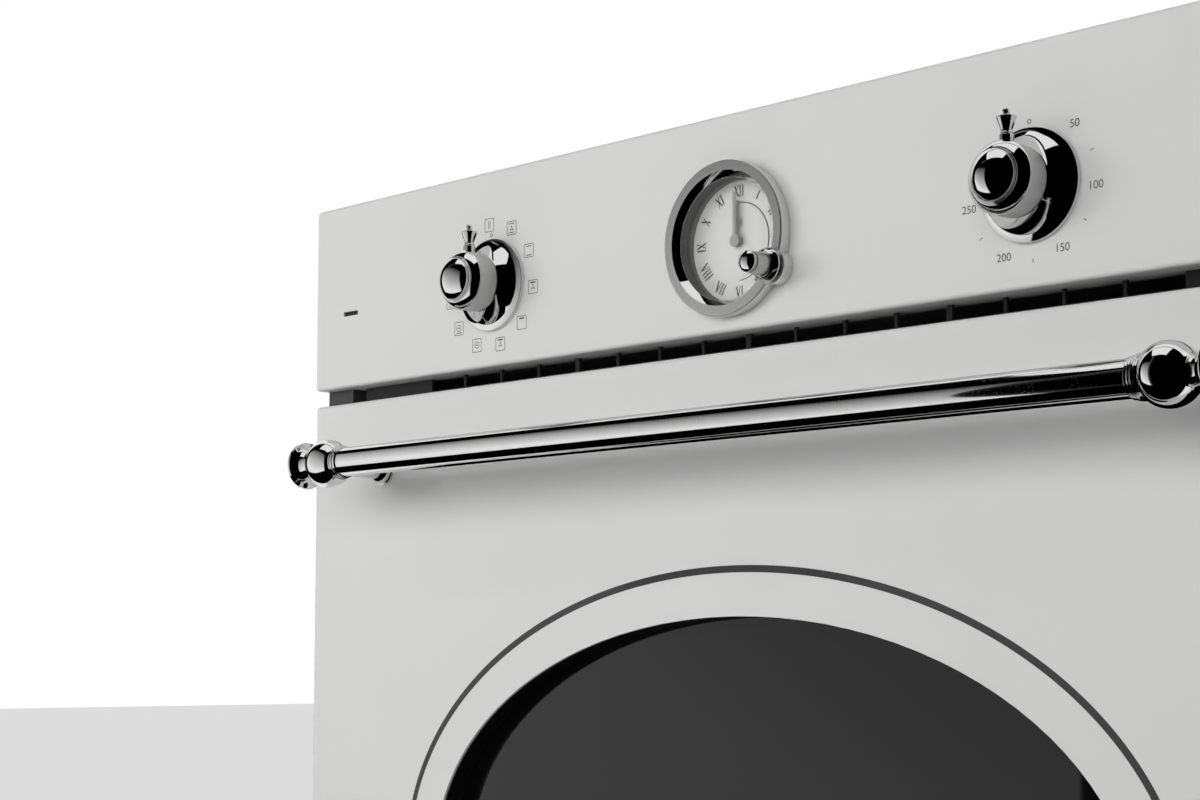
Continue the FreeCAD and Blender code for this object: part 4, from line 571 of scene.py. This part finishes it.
# Leaves a line of the filled shape that is being edited
def keepLine(line):
    bpy.ops.mesh.inset(thickness=line)
    bpy.ops.mesh.delete(type="FACE")
    bpy.ops.object.mode_set(mode="OBJECT")
    return bpy.context.object


def inkRing(x, z, radius, line, y):
    bpy.ops.mesh.primitive_circle_add(
        vertices=64, radius=radius, fill_type="NGON", location=(x, y, z), rotation=(quarter, 0, 0)
    )
    bpy.ops.object.mode_set(mode="EDIT")
    return keepLine(line)


def inkBox(x, z, size, corner, line, y):
    bpy.ops.mesh.primitive_plane_add(size=size, location=(x, y, z), rotation=(quarter, 0, 0))
    bpy.ops.object.mode_set(mode="EDIT")
    bpy.ops.mesh.bevel(offset=corner, segments=4, affect="VERTICES")
    bpy.ops.mesh.select_all(action="SELECT")
    return keepLine(line)


def joinInk(name, shapes, film, finish):
    deselect()
    for shape in shapes:
        shape.select_set(True)
    bpy.context.view_layer.objects.active = shapes[0]
    applyPlace()
    bpy.ops.object.join()
    bpy.ops.object.modifier_add(type="SOLIDIFY")
    solidify = bpy.context.object.modifiers[0]
    solidify.thickness = film
    solidify.offset = 1.0
    bpy.ops.object.modifier_apply(modifier=solidify.name)
    return namePiece(name, finish)


# Symbols round the function knob: a box each, with bars for the heaters, blades for the fan and a ring heater
symbolShape = {
    "ring": 30.4, "shift": -1.2, "box": 6.8, "corner": 0.7, "line": 0.32, "film": 0.03,
    "coil": 1.7, "coilRise": 0.2, "zeroRise": 25.2, "zero": 0.95, "zeroLine": 0.35,
}
bladeAngles = [math.radians(blade) for blade in (90, 210, 330)]
# Strokes of each mark: sideways, upwards, length, thickness in lines, angle
markStrokes = {
    "bar": [(-0.5, 0, 3.8, 1, quarter), (0.5, 0, 3.8, 1, quarter)],
    "top": [(0, 2.2, 3.8, 1.3, 0)],
    "bottom": [(0, -2.2, 3.8, 1.3, 0)],
    "thickTop": [(0, 2.1, 3.6, 2.2, 0)],
    "fan": [(0.85 * math.cos(angle), 0.85 * math.sin(angle) - 0.3, 1.1, 1.8, angle) for angle in bladeAngles],
    "ring": [(0, symbolShape["coilRise"], 1.5, 1.5, 0)],
}
# Each symbol's angle from the top of the knob, and its marks
symbols = (
    (357, "bar"), (29, "top bottom fan"), (63, "top bottom"), (98, "thickTop fan"), (133, "thickTop"),
    (167, "thickTop fan"), (200, "ring"), (232, "ring bottom"), (261, "bottom"),
)
symbolX = knobMiddle.x + symbolShape["shift"] * mm
line = symbolShape["line"] * mm
deselect()
symbolInk = []
for clock, marks in symbols:
    x = symbolX + symbolShape["ring"] * mm * math.sin(math.radians(clock))
    z = knobMiddle.z + symbolShape["ring"] * mm * math.cos(math.radians(clock))
    symbolInk.append(inkBox(x, z, symbolShape["box"] * mm, symbolShape["corner"] * mm, line, frontY))
    for mark, strokes in markStrokes.items():
        if mark not in marks.split():
            continue
        if mark == "ring":
            symbolInk.append(inkRing(x, z + symbolShape["coilRise"] * mm, symbolShape["coil"] * mm, line, frontY))
        for dx, dz, length, thickness, angle in strokes:
            symbolInk.append(inkStroke(x + dx * mm, z + dz * mm, length * mm, line * thickness, angle, frontY))
symbolInk.append(inkRing(
    symbolX, knobMiddle.z + symbolShape["zeroRise"] * mm,
    symbolShape["zero"] * mm, symbolShape["zeroLine"] * mm, frontY,
))
functionSymbols = joinInk("function_symbols", symbolInk, symbolShape["film"] * mm, ink)
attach(functionSymbols, "oven")

# Scale round the temperature knob: plain numbers with ticks between them
scaleShape = {
    "ring": 29.5, "tick": 1.6, "line": 0.35, "film": 0.03, "zeroRise": 25.4, "zero": 0.95,
    "numbers": ("50", "100", "150", "200", "250"), "first": 44, "step": 54, "height": 4.6, "drop": 0.35,
}
line = scaleShape["line"] * mm
deselect()
scaleInk = [inkRing(
    otherKnobMiddle.x, otherKnobMiddle.z + scaleShape["zeroRise"] * mm, scaleShape["zero"] * mm, line, frontY
)]
for place, number in enumerate(scaleShape["numbers"]):
    angle = math.radians(scaleShape["first"] + scaleShape["step"] * place)
    x = otherKnobMiddle.x + scaleShape["ring"] * mm * math.sin(angle)
    z = otherKnobMiddle.z + scaleShape["ring"] * mm * math.cos(angle)
    low = z - scaleShape["drop"] * scaleShape["height"] * mm
    bpy.ops.object.text_add(location=(x, frontY, low), rotation=(quarter, 0, 0))
    bpy.context.object.data.body = number
    bpy.context.object.data.size = scaleShape["height"] * mm
    bpy.context.object.data.align_x = "CENTER"
    bpy.ops.object.convert(target="MESH")
    scaleInk.append(bpy.context.object)
    if place:
        between = angle - math.radians(scaleShape["step"] / 2)
        spot = otherKnobMiddle + Vector((math.sin(between), 0, math.cos(between))) * (scaleShape["ring"] * mm)
        scaleInk.append(inkStroke(spot.x, spot.z, scaleShape["tick"] * mm, line, quarter - between, frontY))
temperatureScale = joinInk("temperature_scale", scaleInk, scaleShape["film"] * mm, ink)
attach(temperatureScale, "oven")

# Clock numerals, built from upright and slanted strokes with small feet, and the thin half circle
numeralShape = {
    "ring": 22.6, "height": 5.0, "thick": 0.76, "thin": 0.46, "gap": 1.55, "wide": 2.5, "inset": 0.5, "space": 0.3,
    "foot": 1.05, "footLine": 0.2, "arc": 17.6, "arcLine": 0.34, "arcSwell": 0.5, "dialDepth": 6.0, "film": 0.03,
}
numerals = ("XII", "I", "II", "III", "IIII", "V", "VI", "VII", "VIII", "IX", "X", "XI")
thick, thin, tall = numeralShape["thick"], numeralShape["thin"], numeralShape["height"]
span = numeralShape["wide"] - numeralShape["inset"]
slant, slantLength = math.atan2(tall, span), math.hypot(tall, span)
steep, steepLength = math.atan2(tall, span / 2), math.hypot(tall, span / 2)
# Strokes of each letter: sideways, length, thickness, angle; its feet: side, end
letterStrokes = {
    "I": [(0, tall, thick, quarter)],
    "X": [(0, slantLength, thick, -slant), (0, slantLength, thin, slant)],
    "V": [(-span / 4, steepLength, thick, -steep), (span / 4, steepLength, thin, steep)],
}
letterFeet = {"I": [(0, 1), (0, -1)], "X": [(-1, 1), (1, 1), (-1, -1), (1, -1)], "V": [(-1, 1), (1, 1)]}
dialFace = clockMiddle.copy()
dialFace.y = frontY + numeralShape["dialDepth"] * mm
deselect()
numeralInk = []
for hour, letters in enumerate(numerals):
    turn = math.radians(30 * hour)
    out = Vector((math.sin(turn), 0, math.cos(turn)))
    up = -out if 4 <= hour <= 8 else out  # the lower numerals stand upright
    side = Vector((up.z, 0, -up.x))
    lean = math.atan2(side.z, side.x)
    widths = [
        numeralShape["gap"] if letter == "I" else numeralShape["wide"] + numeralShape["space"] for letter in letters
    ]
    along = -sum(widths) / 2
    for letter, width in zip(letters, widths):
        spot = dialFace + (out * numeralShape["ring"] + side * (along + width / 2)) * mm
        for dx, length, thickness, angle in letterStrokes[letter]:
            at = spot + side * dx * mm
            numeralInk.append(inkStroke(at.x, at.z, length * mm, thickness * mm, angle + lean, dialFace.y))
        for dx, dz in letterFeet[letter]:
            at = spot + (side * dx * span / 2 + up * dz * tall / 2) * mm
            numeralInk.append(inkStroke(
                at.x, at.z, numeralShape["foot"] * mm, numeralShape["footLine"] * mm, lean, dialFace.y
            ))
        along += width
halfCircle = inkRing(dialFace.x, dialFace.z, numeralShape["arc"] * mm, numeralShape["arcLine"] * mm, dialFace.y)
bpy.ops.object.mode_set(mode="EDIT")
bpy.ops.mesh.select_all(action="DESELECT")
bpy.ops.object.mode_set(mode="OBJECT")
for vertex in halfCircle.data.vertices:
    reach = math.hypot(vertex.co.x, vertex.co.y)
    vertex.select = reach < (numeralShape["arc"] - numeralShape["arcLine"] / 2) * mm
bpy.ops.object.mode_set(mode="EDIT")
bpy.ops.transform.translate(value=(-numeralShape["arcSwell"] * mm, 0, 0))
bpy.ops.mesh.select_all(action="SELECT")
bpy.ops.mesh.bisect(plane_co=dialFace, plane_no=(1, 0, 0), clear_inner=True)
bpy.ops.object.mode_set(mode="OBJECT")
numeralInk.append(halfCircle)
clockNumerals = joinInk("clock_numerals", numeralInk, numeralShape["film"] * mm, dialInk)
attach(clockNumerals, "oven")

# Painted line round the window
lineShape = {"halfWidth": 219.0, "halfHeight": 137.0, "line": 3.1, "film": 0.04}
deselect()
bpy.ops.mesh.primitive_circle_add(
    vertices=256, radius=1, fill_type="NGON",
    location=(windowMiddle.x, doorLow.y, windowMiddle.z), rotation=(quarter, 0, 0),
)
bpy.context.object.scale = (lineShape["halfWidth"] * mm, lineShape["halfHeight"] * mm, 1)
applyPlace()
bpy.ops.object.mode_set(mode="EDIT")
windowInk = keepLine(lineShape["line"] * mm)
windowLine = joinInk("window_line", [windowInk], lineShape["film"] * mm, ink)
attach(windowLine, "door")
print("symbols, scale, numerals and window line printed")

# Camera, fitted to the photographed edges and circles
view = {
    "place": (0.62667, frontY - 0.69807, panelLow.z - 0.14459),
    "turn": 45.411, "tilt": 5.525, "lens": 64.907, "rise": 0.045,
}
cameraData = bpy.data.cameras.new("camera")
cameraData.lens = view["lens"]
cameraData.shift_y = view["rise"]
camera = bpy.data.objects.new("camera", cameraData)
camera.location = view["place"]
camera.rotation_euler = (math.radians(90 + view["tilt"]), 0, math.radians(view["turn"]))
bpy.context.scene.collection.objects.link(camera)
bpy.context.scene.camera = camera
bpy.context.scene.view_settings.view_transform = "Standard"

# Studio: white surround for the camera and for mirrors, plain soft light on the object
studio = {"surround": 0.12, "floor": -0.12, "floorSize": 40.0, "whiten": 0.65}
world = bpy.data.worlds.new("studio")
bpy.context.scene.world = world
world.use_nodes = True
worldTree = world.node_tree


# One for the rays that show the background: from the camera, off a mirror or through glass
def backgroundRays(tree):
    rays = addNode(tree, "ShaderNodeLightPath", {}).outputs
    seen = addNode(
        tree, "ShaderNodeMath", {0: rays["Is Camera Ray"], 1: rays["Is Glossy Ray"]}, operation="MAXIMUM"
    )
    clear = addNode(
        tree, "ShaderNodeMath", {0: seen.outputs[0], 1: rays["Is Transmission Ray"]}, operation="MAXIMUM"
    )
    return clear.outputs[0]


level = addNode(
    worldTree, "ShaderNodeMapRange", {0: backgroundRays(worldTree), 3: studio["surround"], 4: 1.0}
)
worldTree.links.new(level.outputs[0], worldTree.nodes["Background"].inputs["Strength"])
worldTree.nodes["Background"].inputs["Color"].default_value = (1, 1, 1, 1)

# Lamps: place, aim, width and height, watts
lamps = {
    "strip_lamp": ((-0.45, frontY - 1.2, 0.81), (-0.45, frontY, 0.46), (3.2, 0.7), 19.5),
    "back_lamp": ((0.5, 2.4, 1.3), (0, 0.28, 0.3), (1.6, 1.2), 14),
    "side_lamp": ((-1.6, -1.9, 0.62), (0, -0.26, 0.45), (0.45, 0.45), 5),
}
for name, (place, aim, size, watts) in lamps.items():
    light = bpy.data.lights.new(name, "AREA")
    light.shape = "RECTANGLE"
    light.size, light.size_y = size
    light.energy = watts
    lamp = bpy.data.objects.new(name, light)
    lamp.location = place
    lamp.rotation_euler = (Vector(aim) - Vector(place)).to_track_quat("-Z", "Y").to_euler()
    lamp.visible_glossy = False  # mirrors see the cards instead
    bpy.context.scene.collection.objects.link(lamp)

# Pale floor, whitened for the background's rays, and a low plinth under the oven
floorFinish = grainFinish("pale_floor", "#EFEFEF", "#F2F2F2", 0.8, 6.0)
floorTree = floorFinish.node_tree
floorShader = floorTree.nodes["Principled BSDF"]
floorSeen = addNode(
    floorTree, "ShaderNodeMath", {0: backgroundRays(floorTree), 1: studio["whiten"]}, operation="MULTIPLY"
)
floorWhite = addNode(floorTree, "ShaderNodeEmission", {"Color": (1, 1, 1, 1), "Strength": 1.0})
floorMix = addNode(
    floorTree, "ShaderNodeMixShader",
    {0: floorSeen.outputs[0], 1: floorShader.outputs[0], 2: floorWhite.outputs[0]},
)
floorTree.links.new(floorMix.outputs[0], floorTree.nodes["Material Output"].inputs["Surface"])
deselect()
bpy.ops.mesh.primitive_plane_add(size=studio["floorSize"], location=(0, 0, studio["floor"]))
applyPlace()
floor = namePiece("floor", floorFinish)
plinthShape = {"width": 0.46, "depth": 0.42, "back": 0.05, "gap": 0.001}
plinthHeight = -studio["floor"] - plinthShape["gap"]
bpy.ops.mesh.primitive_cube_add(
    size=1, location=(0, plinthShape["back"], (studio["floor"] - plinthShape["gap"]) / 2)
)
bpy.context.object.scale = (plinthShape["width"], plinthShape["depth"], plinthHeight)
applyPlace()
plinth = namePiece("plinth", floorFinish)
for stand in (floor, plinth):
    stand.visible_glossy = False


# Studio cards that only mirrors see: a glow at the middle, and how it runs across and upwards
# A card with no glow is black
def studioCard(name, size, place, turn, glowAt=0.0, across=0.0, upwards=0.0):
    deselect()
    bpy.ops.mesh.primitive_plane_add(size=1, location=place, rotation=turn)
    card = bpy.context.object
    card.scale = (size[0], size[1], 1)
    material = bpy.data.materials.new(name)
    material.use_nodes = True
    tree = material.node_tree
    tree.nodes.clear()
    face = addNode(tree, "ShaderNodeSeparateXYZ", {0: addNode(tree, "ShaderNodeTexCoord", {}).outputs["Object"]})
    rise = addNode(
        tree, "ShaderNodeMath", {0: face.outputs["Y"], 1: upwards, 2: glowAt}, operation="MULTIPLY_ADD"
    )
    run = addNode(
        tree, "ShaderNodeMath", {0: face.outputs["X"], 1: across, 2: rise.outputs[0]}, operation="MULTIPLY_ADD"
    )
    held = addNode(tree, "ShaderNodeClamp", {"Value": run.outputs[0]})
    glow = addNode(tree, "ShaderNodeEmission", {"Color": (1, 1, 1, 1), "Strength": held.outputs[0]})
    addNode(tree, "ShaderNodeOutputMaterial", {"Surface": glow.outputs[0]})
    namePiece(name, material)
    card.visible_camera = False
    card.visible_diffuse = False
    card.visible_transmission = False
    card.visible_shadow = False


# A tent of dark cards; its front wall glows towards the left
tent = {
    "width": 9, "depth": 2.6, "height": 8, "middle": -1.0, "level": 1.2, "ahead": 2.2, "behind": 0.25,
    "left": -4.0, "right": 2.8, "roof": 4.0, "ground": -1.4, "glow": -0.05, "across": -1.3,
}
tentY = frontY - tent["depth"] / 2 + tent["behind"]
studioCard(
    "front_wall", (tent["width"], tent["height"]), (tent["middle"], frontY - tent["ahead"], tent["level"]),
    (quarter, 0, 0), tent["glow"], tent["across"],
)
for name, x in (("left_wall", tent["left"]), ("right_wall", tent["right"])):
    studioCard(name, (tent["depth"], tent["height"]), (x, tentY, tent["level"]), (quarter, 0, quarter))
for name, z in (("roof", tent["roof"]), ("ground", tent["ground"])):
    studioCard(name, (tent["width"], tent["depth"]), (tent["middle"], tentY, z), (0, 0, 0))

# A pale card stands close by at the left, brightest low down
cardShape = {
    "off": 0.30, "left": -3.0, "right": 0.64, "low": -0.84, "high": 1.85, "beside": 0.0275,
    "glow": 0.66, "across": -0.84, "upwards": -1.5,
}
cardOff = cardShape["off"]
cardSize = [(cardShape[b] - cardShape[a]) * cardOff for a, b in (("left", "right"), ("low", "high"))]
cardX = barLow.x - cardShape["beside"] + (cardShape["left"] + cardShape["right"]) / 2 * cardOff
cardZ = barMiddle.z + (cardShape["low"] + cardShape["high"]) / 2 * cardOff
studioCard(
    "pale_card", cardSize, (cardX, barMiddle.y - cardOff, cardZ), (quarter, 0, 0),
    cardShape["glow"], cardShape["across"], cardShape["upwards"],
)

# A dark flag close in front of the door paints a dark reflection into the bar's underside, in place of the door's
# shadow below the bar, and a softbox hangs over the front
flag = {"size": (0.495, 0.065), "middle": 0.03, "gap": 3}
flagZ = barMiddle.z - flag["size"][1] / 2
# painted shadow: a black card that only mirrors see, standing in for the shaded door under the bar
studioCard("painted_shadow_reflection_flag", flag["size"], (flag["middle"], doorLow.y - flag["gap"] * mm, flagZ), (quarter, 0, 0))
softbox = {"size": (1.0, 0.7), "place": (-0.1, frontY - 0.35, 1.6), "glow": 1.0}
studioCard("top_softbox", softbox["size"], softbox["place"], (0, 0, 0), softbox["glow"])
print("studio set")
